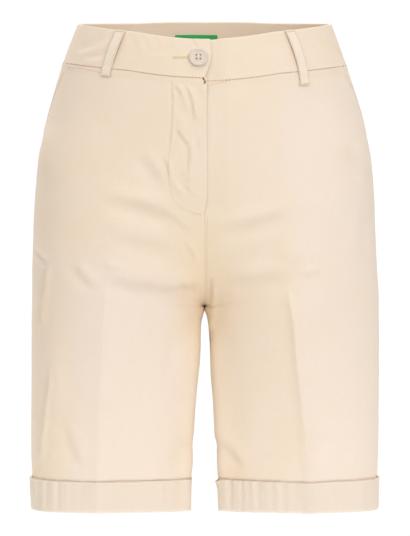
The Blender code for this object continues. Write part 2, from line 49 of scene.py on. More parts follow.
# Every piece lies on one surface. The girth runs from -1 at the back edge
# over 0 at the side to 1 at the front edge, the row counts levels upwards.
# Up to the fork the edge is the inseam, above it the centre seam.

# side height, half width, how far behind the middle the widest point is
levels = np.array([
    (-470.0, 176.6, 6.0), (-441.0, 176.9, 6.0), (-405.0, 177.6, 7.0), (-365.0, 177.9, 8.0),
    (-325.0, 178.0, 9.0), (-292.0, 177.9, 10.0), (-264.0, 177.6, 11.0), (-240.0, 177.1, 12.0),
    (-216.0, 176.3, 13.0), (-188.0, 175.2, 14.0), (-152.0, 173.4, 15.0), (-108.0, 168.9, 15.0),
    (-64.0, 158.8, 14.0), (-19.0, 144.4, 12.0), (21.0, 129.2, 10.0),
])
forkRow, hipRow, waistRow = 6, 10, 13

# crest x and y, slope before and after it, edge x, y, z and arrival angle
frontShape = np.array([
    (103.0, -66.0, 0.16, -0.16, 17.2, -12.0, -470.0, 72.0),
    (102.0, -68.5, 0.16, -0.16, 16.8, -12.0, -441.0, 72.0),
    (100.0, -73.0, 0.15, -0.15, 14.6, -12.0, -405.0, 72.0),
    (97.5, -79.0, 0.14, -0.14, 11.6, -12.0, -365.0, 72.0),
    (95.0, -86.0, 0.12, -0.12, 8.2, -12.0, -325.0, 74.0),
    (93.0, -92.0, 0.09, -0.09, 5.6, -11.0, -292.0, 76.0),
    (91.0, -96.5, 0.05, -0.05, 0.0, -10.0, -268.0, 88.0),
    (89.0, -100.0, 0.03, -0.02, 0.0, -38.0, -263.0, 60.0),
    (87.0, -103.0, 0.04, 0.00, 0.0, -70.0, -246.0, 34.0),
    (84.5, -105.0, 0.08, 0.04, 0.0, -94.0, -214.0, 14.0),
    (82.0, -105.5, 0.14, 0.12, 0.0, -108.0, -170.0, 2.0),
    (80.0, -101.5, 0.26, 0.24, 0.0, -113.0, -125.0, 0.0),
    (77.5, -95.5, 0.42, 0.40, 0.0, -111.0, -84.0, 0.0),
    (74.0, -88.4, 0.48, 0.48, 0.0, -105.0, -43.0, 0.0),
    (68.0, -79.0, 0.50, 0.50, 0.0, -95.0, -3.0, 0.0),
])
backShape = np.array([
    (100.0, 76.0, 0.10, -0.10, 17.2, -12.0, -470.0, 108.0),
    (99.5, 79.0, 0.10, -0.10, 16.8, -12.0, -441.0, 108.0),
    (98.0, 85.0, 0.09, -0.09, 14.6, -12.0, -405.0, 108.0),
    (96.0, 93.0, 0.08, -0.08, 11.6, -12.0, -365.0, 108.0),
    (93.0, 102.0, 0.06, -0.06, 8.2, -12.0, -325.0, 106.0),
    (90.5, 110.0, 0.04, -0.04, 5.6, -11.0, -292.0, 104.0),
    (88.0, 117.0, 0.03, -0.03, 0.0, -10.0, -268.0, 90.0),
    (86.0, 122.0, 0.03, -0.02, 0.0, 28.0, -265.5, 64.0),
    (84.0, 126.0, 0.05, 0.00, 0.0, 70.0, -254.0, 42.0),
    (82.0, 128.0, 0.10, 0.03, 0.0, 104.0, -224.0, 18.0),
    (80.0, 127.0, 0.18, 0.10, 0.0, 121.0, -176.0, 3.0),
    (78.0, 119.0, 0.28, 0.22, 0.0, 124.0, -118.0, 0.0),
    (76.0, 107.5, 0.36, 0.32, 0.0, 118.0, -60.0, 0.0),
    (74.0, 95.5, 0.41, 0.40, 0.0, 110.0, -5.0, 0.0),
    (68.0, 88.0, 0.44, 0.43, 0.0, 102.0, 33.0, 0.0),
])
hang = {right: (3.5, 1.2), left: (-1.0, -1.6)}   # crease outwards at the hem, waist seam upwards
# row and how far towards the inseam the pressed crease runs beside the crest, mm
pressed = {
    right: ((0.0, 2.0, 4.0, 5.5, 8.0), (-1.0, -3.0, -4.0, -4.8, -6.0)),
    left: ((0.0, 1.0, 2.4, 3.2, 4.5, 5.5, 6.6, 8.0), (-2.2, -2.0, -1.2, 0.4, 2.2, 2.8, 4.4, 5.5)),
}
# row, mm the side lies further in, mm the inner front edge of the leg lies towards the other leg
nudge = {
    right: (
        (0.0, 1.8, 2.5, 3.2, 3.8, 4.5, 5.0, 5.5, 5.95, 6.7, 7.5, 10.4, 11.1, 11.9, 12.3, 13.0),
        (1.0, 0.8, 1.0, 1.1, 1.0, 1.0, 1.1, 1.2, 1.2, 0.9, 0.0, 0.0, 1.0, 0.9, 0.4, 0.0),
        (6.6, 8.2, 7.4, 6.8, 6.5, 6.8, 6.0, 3.4, 3.0, 1.2, 0.0, 0.0, 0.0, 0.0, 0.0, 0.0),
    ),
    left: (
        (0.0, 1.8, 2.5, 3.2, 3.8, 4.5, 5.0, 5.5, 5.95, 6.7, 7.7, 8.8, 10.0, 11.1, 11.9, 13.0),
        (0.4, 0.0, 0.1, 0.4, 0.5, 0.4, 0.3, 0.2, 0.0, 0.0, 0.6, 0.9, 0.0, 0.0, 0.6, 0.0),
        (6.3, 8.3, 7.1, 6.3, 6.6, 6.0, 3.4, 3.2, 3.0, 1.2, 0.0, 0.0, 0.0, 0.0, 0.0, 0.0),
    ),
}

cut = {
    "cloth": 1.2, "band": 2.4, "bandProud": 0.5, "layerGap": 0.45,     # mm
    "mouthTop": 0.165, "mouthBend": 1.5,          # pocket mouth at the waist, and its curve
    "seamLow": -0.03, "seamHigh": -0.09,         # side seam at the hem and from the hip up
    "flyRow": 9.85, "flyLap": 0.013, "flySink": 1.7,     # low end, overlap in girth, depth in mm
}


def ease(value):
    value = np.clip(value, 0.0, 1.0)
    return value * value * (3.0 - 2.0 * value)


def unit(vectors):
    return vectors / np.linalg.norm(vectors, axis=-1, keepdims=True)


def throughRows(table, row):
    last = len(table) - 1
    low = np.clip(np.floor(row).astype(int), 0, last - 1)
    t = (row - low)[..., None]
    here, above = table[low], table[low + 1]
    before = np.where((low > 0)[..., None], table[np.maximum(low - 1, 0)], 2 * here - above)
    after = np.where((low + 2 <= last)[..., None], table[np.minimum(low + 2, last)], 2 * above - here)
    bend = 2 * before - 5 * here + 4 * above - after
    twist = 3 * (here - above) + after - before
    return here + 0.5 * t * (above - before + t * (bend + t * twist))


def arcPoints(start, pullStart, pullEnd, end, t):
    t = t[..., None]
    return (
        (1 - t) ** 3 * start + 3 * (1 - t) ** 2 * t * pullStart
        + 3 * (1 - t) * t * t * pullEnd + t ** 3 * end
    )


def halfSurface(table, outward, side, part, row):
    widest = levels.copy()
    widest[waistRow, 0] += hang[side][1]
    crests = table.copy()
    crests[waistRow, 6] += hang[side][1] if outward < 0 else 0.0
    height, width, middle = np.moveaxis(throughRows(widest, row), -1, 0)
    crestX, crestY, rise, fall = np.moveaxis(throughRows(crests[:, :4], row), -1, 0)
    inseam = throughRows(crests[:forkRow + 1, 4:], np.minimum(row, forkRow))
    centre = throughRows(crests[forkRow:, 4:], np.maximum(row - forkRow, 0.0))
    edges = np.where((row < forkRow)[..., None], inseam, centre)
    edgeX, edgeY, edgeZ, turn = np.moveaxis(edges, -1, 0)
    crestX = crestX + hang[side][0] * np.clip(1.0 - row / forkRow, 0.0, 1.0)
    turn = np.radians(turn)
    toCrest, toEdge = width - crestX, crestX - edgeX
    depth = np.abs(crestY - middle)
    sidePoint = np.stack([width, middle], -1)
    crest = np.stack([crestX, crestY], -1)
    edge = np.stack([edgeX, edgeY], -1)
    # how far the arcs are pulled ahead, so that they meet the crest and the edge smoothly
    push = (0.54 - 0.28 * rise) * depth
    pull = (0.54 + 0.14 * rise) * toCrest
    leave = (0.33 + 0.22 * np.sin(turn)) * toEdge
    reach = np.cos(turn) ** 2 * toEdge + np.sin(turn) ** 2 * np.abs(edgeY - crestY)
    arrive = (0.34 + 0.19 * np.sin(turn)) * reach
    outer = arcPoints(
        sidePoint, sidePoint + np.stack([0 * push, outward * push], -1),
        crest + np.stack([pull, -outward * rise * pull], -1), crest, np.clip(2 * part, 0, 1),
    )
    inner = arcPoints(
        crest, crest + np.stack([-leave, outward * fall * leave], -1),
        edge + np.stack([arrive * np.cos(turn), outward * arrive * np.sin(turn)], -1),
        edge, np.clip(2 * part - 1, 0, 1),
    )
    flat = np.where((part < 0.5)[..., None], outer, inner)
    flat[..., 0] = np.maximum(flat[..., 0], 0.05)
    z = height + (edgeZ - height) * np.sin(0.5 * math.pi * part) ** 1.25
    return np.concatenate([flat, z[..., None]], -1)


def rawSurface(side, girth, row):
    part = np.abs(girth)
    crossed = part > 1.0
    part = np.where(crossed, 2.0 - part, part)
    point = np.empty(girth.shape + (3,))
    ahead = girth >= 0
    if ahead.any():
        point[ahead] = halfSurface(frontShape, -1.0, side, part[ahead], row[ahead])
    if not ahead.all():
        point[~ahead] = halfSurface(backShape, 1.0, side, part[~ahead], row[~ahead])
    point[..., 0] *= np.where(crossed, -side, side)
    return point


def smoothSurface(side, girth, row):
    # the raw rows bend where inseam and centre seam meet; away from the
    # edge the cloth runs over that smoothly
    girth, row = np.broadcast_arrays(np.asarray(girth, float), np.asarray(row, float))
    point = rawSurface(side, girth, row)
    part = np.minimum(np.abs(girth), 2 - np.abs(girth))
    blend = 0.9 * ease((1 - part) / 0.22) * np.exp(-((row - forkRow) / 1.3) ** 2)
    near = blend > 0.02
    if near.any():
        total = 0.0
        for step, weight in ((-1.0, 1), (-0.67, 6), (-0.33, 15), (0.0, 20), (0.33, 15), (0.67, 6), (1.0, 1)):
            total = total + weight / 64 * rawSurface(side, girth[near], row[near] + step * blend[near])
        point[near] = total
    return point


def facing(side, girth, row):
    # unit vectors along the girth, up the rows and out of the cloth
    girth, row = np.broadcast_arrays(np.asarray(girth, float), np.asarray(row, float))
    ahead = np.where((row <= forkRow) & (girth + 0.004 > 1), girth, girth + 0.004)
    behind = np.where((row <= forkRow) & (girth - 0.004 < -1), girth, girth - 0.004)
    along = unit(smoothSurface(side, ahead, row) - smoothSurface(side, behind, row))
    upward = unit(smoothSurface(side, girth, row + 0.02) - smoothSurface(side, girth, row - 0.02))
    return along, upward, unit(np.cross(along, upward) * -side)


# Each fold: kind, width and height in mm, share that fades at each end, and its
# line as (x, z). A dip sinks, a ridge stands, a tuck does both: it stands on the
# left of its line and sinks on the right.
folds = {
    ("front", right): [
        # drag lines from the fork over the right thigh
        ("tuck", 10.0, 2.62, 0.50, [(-108, -157), (-79, -164), (-52, -170), (-33, -178), (-12, -189)]),
        ("tuck", 3.2, 0.65, 0.35, [(-46, -170), (-33, -177), (-20, -188), (-9, -199)]),
        ("ridge", 12.0, 1.57, 0.40, [(-116, -184), (-70, -186), (-20, -203)]),
        ("tuck", 9.0, 0.88, 0.40, [(-98, -196), (-60, -203), (-20, -208)]),
        ("tuck", 10.0, 2.98, 0.32, [(-104, -236), (-80, -243), (-54, -246), (-32, -249),
         (-10, -247), (14, -240)]),
        ("ridge", 9.0, 1.57, 0.40, [(-92, -226), (-52, -229), (-16, -236)]),
        ("tuck", 7.0, 1.30, 0.35, [(-132, -220), (-119, -237), (-104, -251)]),
        ("ridge", 3.5, 1.04, 0.30, [(-101, -222), (-90, -225), (-77, -229)]),
        ("tuck", 2.4, 0.91, 0.35, [(-22, -201), (-14, -211), (-7, -225)]),
        ("dip", 7.0, 2.62, 0.35, [(-30, -246), (-18, -251), (-7, -256)]),
        # right leg, outer side
        ("ridge", 9.0, 2.27, 0.40, [(-150, -80), (-157, -108), (-160, -142)]),
        ("tuck", 3.2, 1.30, 0.30, [(-171, -210), (-164, -217), (-154, -224)]),
        ("tuck", 3.2, 2.20, 0.25, [(-155, -222), (-159, -250), (-164, -278), (-165, -298)]),
        ("tuck", 3.0, 2.00, 0.25, [(-156, -320), (-155, -342), (-158, -362), (-162, -396), (-167, -434)]),
        ("ridge", 8.0, 1.40, 0.35, [(-148, -300), (-146, -340), (-148, -380)]),
        ("tuck", 8.0, 1.05, 0.35, [(-136, -378), (-132, -400), (-121, -430)]),
        # right leg, inner side
        ("ridge", 5.0, 1.57, 0.35, [(-9, -392), (-15, -416), (-21, -438)]),
        ("dip", 6.0, 2.27, 0.40, [(-19, -390), (-25, -414), (-29, -438)]),
        ("tuck", 10.0, 1.22, 0.40, [(-30, -270), (-26, -310), (-32, -352)]),
        # pleat that runs into the fork
        ("ridge", 3.0, 1.17, 0.35, [(-19, -236), (-14, -254), (-9, -272)]),
        # crushed cloth on the fly
        ("ridge", 3.2, 1.35, 0.35, [(-25, -46), (-19, -62), (-14, -80)]),
        ("tuck", 2.2, 1.40, 0.30, [(-21, -46), (-14, -60), (-11, -75), (-9, -88)]),
        ("tuck", 1.8, 0.95, 0.30, [(-30, -48), (-26, -54), (-22, -60)]),
        ("ridge", 3.2, 0.78, 0.35, [(-12, -52), (-8, -68), (-6, -88)]),
        ("ridge", 4.5, 0.78, 0.40, [(-28, -72), (-22, -88), (-19, -104)]),
        ("tuck", 1.6, 1.15, 0.25, [(-28, -91), (-23, -99), (-17, -107), (-14, -109)]),
        ("ridge", 4.0, 0.65, 0.40, [(-14, -96), (-11, -114), (-12, -132)]),
        ("dip", 3.0, 0.72, 0.40, [(-20, -104), (-17, -122), (-18, -140)]),
        ("tuck", 2.0, 1.05, 0.35, [(-41, -117), (-36, -130), (-34, -141)]),
        ("ridge", 2.2, 1.15, 0.35, [(-31, -140), (-26, -151), (-18, -158)]),
        ("dip", 2.0, 0.95, 0.35, [(-26, -140), (-20, -149), (-13, -157)]),
        ("ridge", 2.0, 0.90, 0.35, [(-19, -144), (-13, -152), (-6, -160)]),
        ("tuck", 8.0, 1.05, 0.40, [(-66, -112), (-52, -130), (-36, -150)]),
        ("tuck", 1.8, 0.60, 0.20, [(-32, -44), (-31, -66), (-32, -90), (-34, -112)]),
        ("tuck", 2.0, 0.85, 0.30, [(-16, -100), (-15, -116), (-16, -134), (-14, -150)]),
        ("tuck", 1.6, 0.70, 0.30, [(-8, -96), (-6, -104), (-4, -118)]),
        ("ridge", 2.2, 0.70, 0.30, [(-34, -120), (-33, -136), (-29, -148)]),
        ("tuck", 1.6, 0.75, 0.30, [(-24, -128), (-20, -138), (-13, -146)]),
    ],
    ("front", left): [
        # left thigh
        ("tuck", 9.0, 2.20, 0.42, [(6, -192), (34, -187), (60, -180), (92, -171)]),
        ("ridge", 12.0, 1.22, 0.40, [(10, -206), (50, -200), (98, -192)]),
        ("tuck", 10.0, 2.40, 0.35, [(20, -244), (55, -238), (86, -231)]),
        ("tuck", 5.0, 0.88, 0.40, [(92, -237), (116, -231)]),
        ("ridge", 10.0, 1.40, 0.40, [(60, -206), (88, -214), (112, -210)]),
        # left leg
        ("tuck", 7.0, 1.60, 0.35, [(14, -390), (26, -408), (42, -432)]),
        ("dip", 10.0, 1.57, 0.40, [(121, -388), (113, -404), (103, -420)]),
        ("tuck", 7.0, 1.57, 0.40, [(141, -104), (152, -124), (160, -146)]),
        ("dip", 7.0, 1.40, 0.40, [(154, -170), (157, -190), (158, -212)]),
        ("ridge", 7.0, 1.40, 0.40, [(147, -170), (150, -195), (150, -220)]),
        ("ridge", 2.4, 1.43, 0.20, [(12, -246), (11, -279), (8, -297), (7, -304), (9, -323),
         (13, -343), (17, -377), (17, -430)]),
        ("dip", 3.0, 1.04, 0.30, [(5, -262), (4, -290), (3, -306), (4, -330), (6, -352)]),
        # pleats that run into the fork
        ("dip", 2.4, 1.82, 0.30, [(4, -236), (5, -250), (6, -262)]),
        ("ridge", 2.8, 1.56, 0.30, [(9, -240), (10, -256), (9, -276)]),
        # beside the fly
        ("ridge", 3.0, 0.52, 0.40, [(4, -62), (8, -84), (6, -110)]),
    ],
    ("band", right): [
        # waistband: crushed beside the loop and pinched by the button
        ("ridge", 3.0, 0.45, 0.35, [(-82, 6), (-76, -4), (-72, -16)]),
        ("dip", 2.6, 0.40, 0.35, [(-76, 4), (-71, -6), (-69, -18)]),
        ("ridge", 3.0, 0.35, 0.35, [(-66, 3), (-63, -8), (-62, -20)]),
        ("tuck", 1.8, 0.60, 0.30, [(-12, -2), (-9, -7), (-7, -12)]),
        ("ridge", 2.2, 0.40, 0.35, [(-56, 1), (-53, -8), (-52, -17)]),
        ("ridge", 2.0, 0.35, 0.35, [(-44, 0), (-42, -8), (-42, -15)]),
        ("ridge", 2.4, 0.35, 0.35, [(-30, -1), (-28, -8), (-28, -14)]),
        ("tuck", 5.0, 0.80, 0.35, [(-96, 4), (-108, -8), (-128, -14)]),
        ("tuck", 4.0, 0.60, 0.35, [(-92, -14), (-104, -20), (-124, -20)]),
        ("ridge", 2.4, 0.35, 0.35, [(-34, -21), (-46, -20), (-56, -18)]),
        ("dip", 4.0, 0.35, 0.40, [(-4, -30), (-14, -36), (-24, -40)]),
    ],
    ("band", left): [
        ("ridge", 6.0, 0.35, 0.40, [(20, -6), (34, -20), (44, -38)]),
        ("dip", 5.0, 0.30, 0.40, [(52, 0), (58, -16), (60, -34)]),
        ("tuck", 4.0, 0.40, 0.40, [(122, 4), (128, -6), (136, -14)]),
    ],
    ("back", right): [
        # slack below the seat and drag lines to the side seams
        ("tuck", 12.0, 2.98, 0.36, [(-134, -246), (-84, -259), (-22, -264)]),
        ("tuck", 9.0, 2.10, 0.38, [(-122, -276), (-80, -285), (-34, -288)]),
        ("tuck", 9.0, 1.75, 0.40, [(-74, -212), (-40, -221), (-12, -234)]),
        ("tuck", 5.0, 1.57, 0.35, [(-150, -190), (-128, -214), (-98, -232)]),
        ("ridge", 7.0, 1.40, 0.40, [(-60, -60), (-54, -90), (-44, -118)]),
        ("tuck", 8.0, 1.57, 0.40, [(-146, -350), (-136, -386), (-120, -424)]),
        ("dip", 4.0, 1.30, 0.30, [(-8, -240), (-9, -252), (-7, -262)]),
    ],
    ("back", left): [
        ("tuck", 12.0, 2.62, 0.36, [(132, -241), (80, -253), (24, -259)]),
        ("tuck", 9.0, 2.27, 0.38, [(124, -277), (78, -284), (30, -286)]),
        ("tuck", 9.0, 1.93, 0.40, [(82, -211), (46, -218), (12, -228)]),
        ("tuck", 5.0, 1.40, 0.35, [(152, -184), (132, -210), (104, -228)]),
        ("ridge", 7.0, 1.22, 0.40, [(64, -56), (56, -84), (48, -112)]),
        ("tuck", 7.0, 1.75, 0.40, [(34, -384), (50, -406), (60, -432)]),
        ("ridge", 8.0, 1.40, 0.40, [(150, -330), (152, -370), (146, -410)]),
        ("dip", 4.0, 1.30, 0.30, [(9, -238), (8, -250), (6, -260)]),
    ],
}
foldLook = {
    "scale": 1.12, "reach": 3.2,         # all heights, and widths within which a fold counts
    "tuck": 1.41 * math.exp(0.5),        # with this a tuck is as high and as deep as a ridge
}


def smoothLine(points, count=9):
    points = np.array(points, float)
    place = np.linspace(0, len(points) - 1, count)
    if len(points) == 2:
        return points[0] + (points[1] - points[0]) * place[:, None]
    return throughRows(points, place)


def nearLine(x, z, line):
    # signed distance to the left of a line, and the share of it passed
    steps = np.diff(line, axis=0)
    lengths = np.hypot(steps[:, 0], steps[:, 1])
    best = np.full(x.shape, 1e9)
    signed = np.zeros(x.shape)
    passed = np.zeros(x.shape)
    start = 0.0
    for point, step, length in zip(line[:-1], steps, lengths):
        dx, dz = x - point[0], z - point[1]
        t = np.clip((dx * step[0] + dz * step[1]) / length ** 2, 0.0, 1.0)
        away = np.hypot(dx - t * step[0], dz - t * step[1])
        turn = np.where(step[0] * dz - step[1] * dx >= 0, 1.0, -1.0)
        closer = away < best
        best = np.where(closer, away, best)
        signed = np.where(closer, away * turn, signed)
        passed = np.where(closer, start + t * length, passed)
        start += length
    return signed, passed / start


def foldLift(side, girth, row, point):
    total = np.zeros(girth.shape)
    flat = point[..., [0, 2]]
    for half in ("front", "band", "back"):
        here = ((girth < 0) if half == "back" else (girth > 0)) & ((row > waistRow) == (half == "band"))
        for kind, width, height, fade, line in folds[half, side]:
            line = smoothLine(line)
            reach = foldLook["reach"] * width
            inBox = (flat > line.min(axis=0) - reach) & (flat < line.max(axis=0) + reach)
            near = here & inBox.all(axis=-1)
            if not near.any():
                continue
            away, passed = nearLine(*flat[near].T, line)
            share = away / width
            form = np.exp(-share ** 2) * (-1 if kind == "dip" else 1)
            if kind == "tuck":
                form = form * share * foldLook["tuck"]
            form = form * ease(passed / fade) * ease((1 - passed) / fade)
            total[near] += foldLook["scale"] * height * form
    return total


def softNoise(u, v, cell, seed):
    # smooth hills about +-1 high and one cell apart
    lattice = np.random.default_rng(seed).uniform(-1.0, 1.0, (64, 64))
    a, b = u / cell + 31.3, v / cell + 17.7
    i, j = np.floor(a).astype(int), np.floor(b).astype(int)
    s, t = ease(a - i), ease(b - j)
    i, j, k, m = i % 64, j % 64, (i + 1) % 64, (j + 1) % 64
    low = lattice[i, j] * (1 - s) + lattice[k, j] * s
    high = lattice[i, m] * (1 - s) + lattice[k, m] * s
    return low * (1 - t) + high * t


def creasePart(side, row):
    return 0.5 + np.interp(row, *pressed[side]) / 200.0


clothLook = {
    # mm high, mm from hill to hill, seed: unevenness of the washed cloth
    "slack": ((0.60, 58.0, 5), (0.13, 17.0, 11), (0.065, 7.0, 21)), "bandSlack": 0.18,
    "pucker": 0.22, "puckerWide": 5.0,   # mm, little waves along the seams
    "crease": {right: 0.6, left: 2.9},   # mm, sharp pressed crease of each front
    "roof": {right: 2.4, left: 7.0},     # mm, broad slopes on both sides of it
    "creaseBack": 0.8, "roofBack": 2.2,  # mm, the same on the backs
    "creaseWide": 2.4, "roofWide": 19.0,     # mm
    "creaseTop": 6.6, "roofTop": 5.2,    # rows where they begin to fade
    "hollow": 0.28, "hollowAt": (6.0, 6.0),      # sinks beside the crease: share, place and width in mm
    "allowance": 0.45, "allowanceWide": 6.2, "rowTall": 45.0,     # mm, seam allowance under the waist seam
    "flyGape": 1.3, "gapeAt": (12.72, 0.16),     # mm, row and width: the fly stands off under the waistband
    # girth, mm that the top edge stands higher between centre back and side
    "bandRise": ((-1.0, -0.6, -0.3, -0.12, -0.04, 0.04, 0.3), (0.0, 1.7, 2.6, 2.4, 1.5, 0.4, 0.0)),
    "innerEdge": (0.935, 0.06, 0.033),   # share of the way to the edge, width before and after it
    "backOut": 3.0, "backAt": (0.88, 0.09),      # mm, the back of the inner leg keeps clear of the other leg
    "hemDrop": 1.5,      # mm, the hem hangs a little lower at the side and at the inseam
}
# where the flat front and back turn into the sides and in between the legs
corners = [
    # half, share of the way from side to edge, width before and after it, out of the cloth and
    # straight ahead in mm, share of that at the hem, last row and fade
    ("front", 0.20, 0.13, 0.16, 1.2, 3.6, 1.0, 17.0, 3.0),
    ("front", 0.90, 0.24, 0.062, 1.0, 8.5, 0.5, 7.2, 2.2),
    ("front", 0.94, 0.085, 0.033, 0.0, 5.5, 0.1, 6.2, 1.5),
    ("back", 0.20, 0.13, 0.16, 1.0, 2.8, 1.0, 17.0, 3.0),
    ("back", 0.91, 0.22, 0.06, 1.0, 6.0, 0.9, 8.0, 2.6),
    ("back", 0.94, 0.085, 0.033, 0.0, 7.0, 0.1, 6.4, 1.5),
]


def bell(value, at, before, after=None):
    off = value - at
    return np.exp(-(off / np.where(off < 0, before, before if after is None else after)) ** 2)


def pressLift(side, girth, row, part):
    # pressed creases, a crisp roof over the crest that dies out at the fork
    look, front = clothLook, girth > 0
    height = np.where(front, look["crease"][side], look["creaseBack"])
    roof = np.where(front, look["roof"][side], look["roofBack"]) * (0.4 + 0.6 * ease(row / 2.4))
    off = (part - np.where(front, creasePart(side, row), 0.5)) * 200.0
    sharp = np.sqrt(off ** 2 + 0.25)
    press = np.exp(-sharp / look["creaseWide"]) - look["hollow"] * bell(off, *look["hollowAt"])
    press = press * (1 - ease((row - look["creaseTop"]) / 1.2))
    slopes = np.exp(-sharp / look["roofWide"]) * (1 - ease((row - look["roofTop"]) / 3.0))
    return (height * press + roof * slopes) * ease((0.98 - part) / 0.1)


def clothLift(side, girth, row, point):
    # how far the cloth lies out of its surface, and how far ahead, in mm
    look = clothLook
    part = np.abs(girth)
    part = np.minimum(part, 2 - part)
    around, up = girth * girthLong, point[..., 2]
    calm = ease((1.0 - part) / 0.035)     # the seams hold the cloth
    legs = row <= waistRow
    waistCalm = ease((waistRow - row) / 0.25)
    lift = foldLift(side, girth, row, point) * np.where(legs, calm * waistCalm * ease(row / 0.6), 1.0)
    slack = sum(height * softNoise(around, up, cell, seed + side) for height, cell, seed in look["slack"])
    lift = lift + slack * calm * np.where(legs, ease(waistRow - row), look["bandSlack"])
    ahead = np.zeros(girth.shape)
    for half, at, before, after, out, forward, hemShare, last, fade in corners:
        bump = bell(part, at, before, after) * ease((last - row) / fade)
        bump = bump * ease(part / 0.06) * ((girth > 0) if half == "front" else (girth < 0))
        bump = bump * (hemShare + (1 - hemShare) * ease(row / 3.2))
        lift = lift + out * bump
        ahead = ahead + (-forward if half == "front" else forward) * bump
    # little waves beside the centre and side seams
    seam = np.exp(-np.minimum(1.0 - part, np.abs(part - 0.06)) * girthLong / look["puckerWide"])
    lift = lift + look["pucker"] * seam * calm * softNoise(around, up, 8.5, 31 + side) * legs
    lift = lift + pressLift(side, girth, row, part)
    # seam allowance pressed down under the waist seam
    below = (waistRow - row) * look["rowTall"]
    lift = lift + look["allowance"] * ease((look["allowanceWide"] - below) / 1.2) * (below >= 0)
    if side == right:
        gape = bell(row, *look["gapeAt"]) * ease((part - 0.965) / 0.03) * (girth > 0)
        lift = lift + look["flyGape"] * gape
    return lift, ahead


def clothPoint(side, girth, row):
    # where the cloth's outside lies, and which way it faces
    girth, row = np.broadcast_arrays(np.asarray(girth, float), np.asarray(row, float))
    look = clothLook
    point = smoothSurface(side, girth, row)
    outward = facing(side, girth, row)[2]
    lift, ahead = clothLift(side, girth, row, point)
    part = np.abs(girth)
    rise = np.interp(girth, *look["bandRise"]) * ease(row - waistRow)
    rise = rise - look["hemDrop"] * np.cos(math.pi * np.clip(part, 0, 1)) ** 2 * ease(1 - row)
    rows, sideIn, legIn = nudge[side]
    inFront = -np.interp(row, rows, legIn) * bell(part, *look["innerEdge"])
    behind = look["backOut"] * bell(part, *look["backAt"]) * ease((6.0 - row) / 0.8)
    sideways = np.interp(row, rows, sideIn) * ease((0.4 - part) / 0.35)
    across = np.where(girth > 0, inFront, behind) - sideways
    moved = np.stack([side * across, ahead, rise], -1)
    return point + outward * lift[..., None] + moved, outward


# painted shade and painted light in the cloth's tint: deeper and warmer round the fork, paler on the lit
# planes of the legs, with random clouds of tone
dyeLook = {
    "even": 0.45, "pressed": 0.42,       # shares of the tint's full depth; pressed is painted light, tint taken off the lit planes of the legs
    "clouds": ((0.16, 34.0, 81), (0.10, 9.0, 91)),       # share, mm from cloud to cloud, seed
    "fork": 0.75, "forkX": (0.0, 24.0), "forkZ": (-256.0, 72.0),      # share, place and width in mm of the painted shade round the fork
    # share of the way from side to edge of the lit planes, painted paler, and the last row
    "flat": {right: (0.38, 0.86, 9.2), left: (0.06, 0.50, 13.5)},
}


def dyeDepth(side, girth, row, point):
    # painted shade and light: the tint lies deeper round the fork, where the shade falls, and is taken off
    # the flat planes of the legs, where the light falls; random clouds of tone vary it too
    look = dyeLook
    start, end, last = look["flat"][side]
    part = np.minimum(np.abs(girth), 2 - np.abs(girth))
    across, up = point[..., 0], point[..., 2]
    depth = look["even"] + look["fork"] * bell(across, *look["forkX"]) * bell(up, *look["forkZ"])
    for share, cell, seed in look["clouds"]:
        depth = depth + share * softNoise(girth * girthLong, up, cell, seed + side)
    # the lit planes of the legs, where the painted light takes tint off
    flat = ease((part - start + 0.06) / 0.12) * ease((end + 0.06 - part) / 0.12) * ease((last - row) / 1.5)
    return np.clip(depth - look["pressed"] * flat, 0.0, 1.0)


def makeObject(name, points, faces, material, mapping=None, sharp=50.0, **amounts):
    mesh = bpy.data.meshes.new(name)
    mesh.from_pydata((np.asarray(points) * millimetre).tolist(), [], faces)
    if mapping is not None:
        layer = mesh.uv_layers.new(name="cloth")
        index = np.empty(len(mesh.loops), int)
        mesh.loops.foreach_get("vertex_index", index)
        layer.data.foreach_set("uv", (mapping[index] * millimetre).ravel())
    for key, values in amounts.items():
        mesh.attributes.new(key, "FLOAT", "POINT").data.foreach_set("value", values)
    mesh.validate()
    mesh.shade_smooth()
    mesh.set_sharp_from_angle(angle=math.radians(sharp))
    mesh.materials.append(material)
    item = bpy.data.objects.new(name, mesh)
    bpy.context.scene.collection.objects.link(item)
    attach(item, "root")
    return item


def gridFaces(rows, columns, offset, flip):
    r, c = np.meshgrid(np.arange(rows - 1), np.arange(columns - 1), indexing="ij")
    a = (offset + r * columns + c).ravel()
    quads = np.stack([a, a + 1, a + columns + 1, a + columns], -1)
    return quads[:, ::-1] if flip else quads


def ringFaces(count, size, closed, flip=False):
    # faces between rings of points; closed joins the last ring to the first
    faces = []
    ahead = (np.arange(size) + 1) % size
    for s in range(count if closed else count - 1):
        here, there = s * size, (s + 1) % count * size
        quad = np.stack([here + np.arange(size), here + ahead, there + ahead, there + np.arange(size)], -1)
        faces += (quad[:, ::-1] if flip else quad).tolist()
    return faces


def barFaces(count, size, base=0, flip=False):
    # rings of points with a cap at each end; base is the first point's number
    caps = [list(range(size))[::-1], list(range((count - 1) * size, count * size))]
    faces = ringFaces(count, size, False, flip) + [cap[::-1] if flip else cap for cap in caps]
    return [[base + corner for corner in face] for face in faces]


def lengthAlong(points, axis):
    steps = np.linalg.norm(np.diff(points, axis=axis), axis=-1)
    zero = np.zeros_like(np.take(steps, [0], axis=axis))
    return np.concatenate([zero, np.cumsum(steps, axis=axis)], axis=axis)


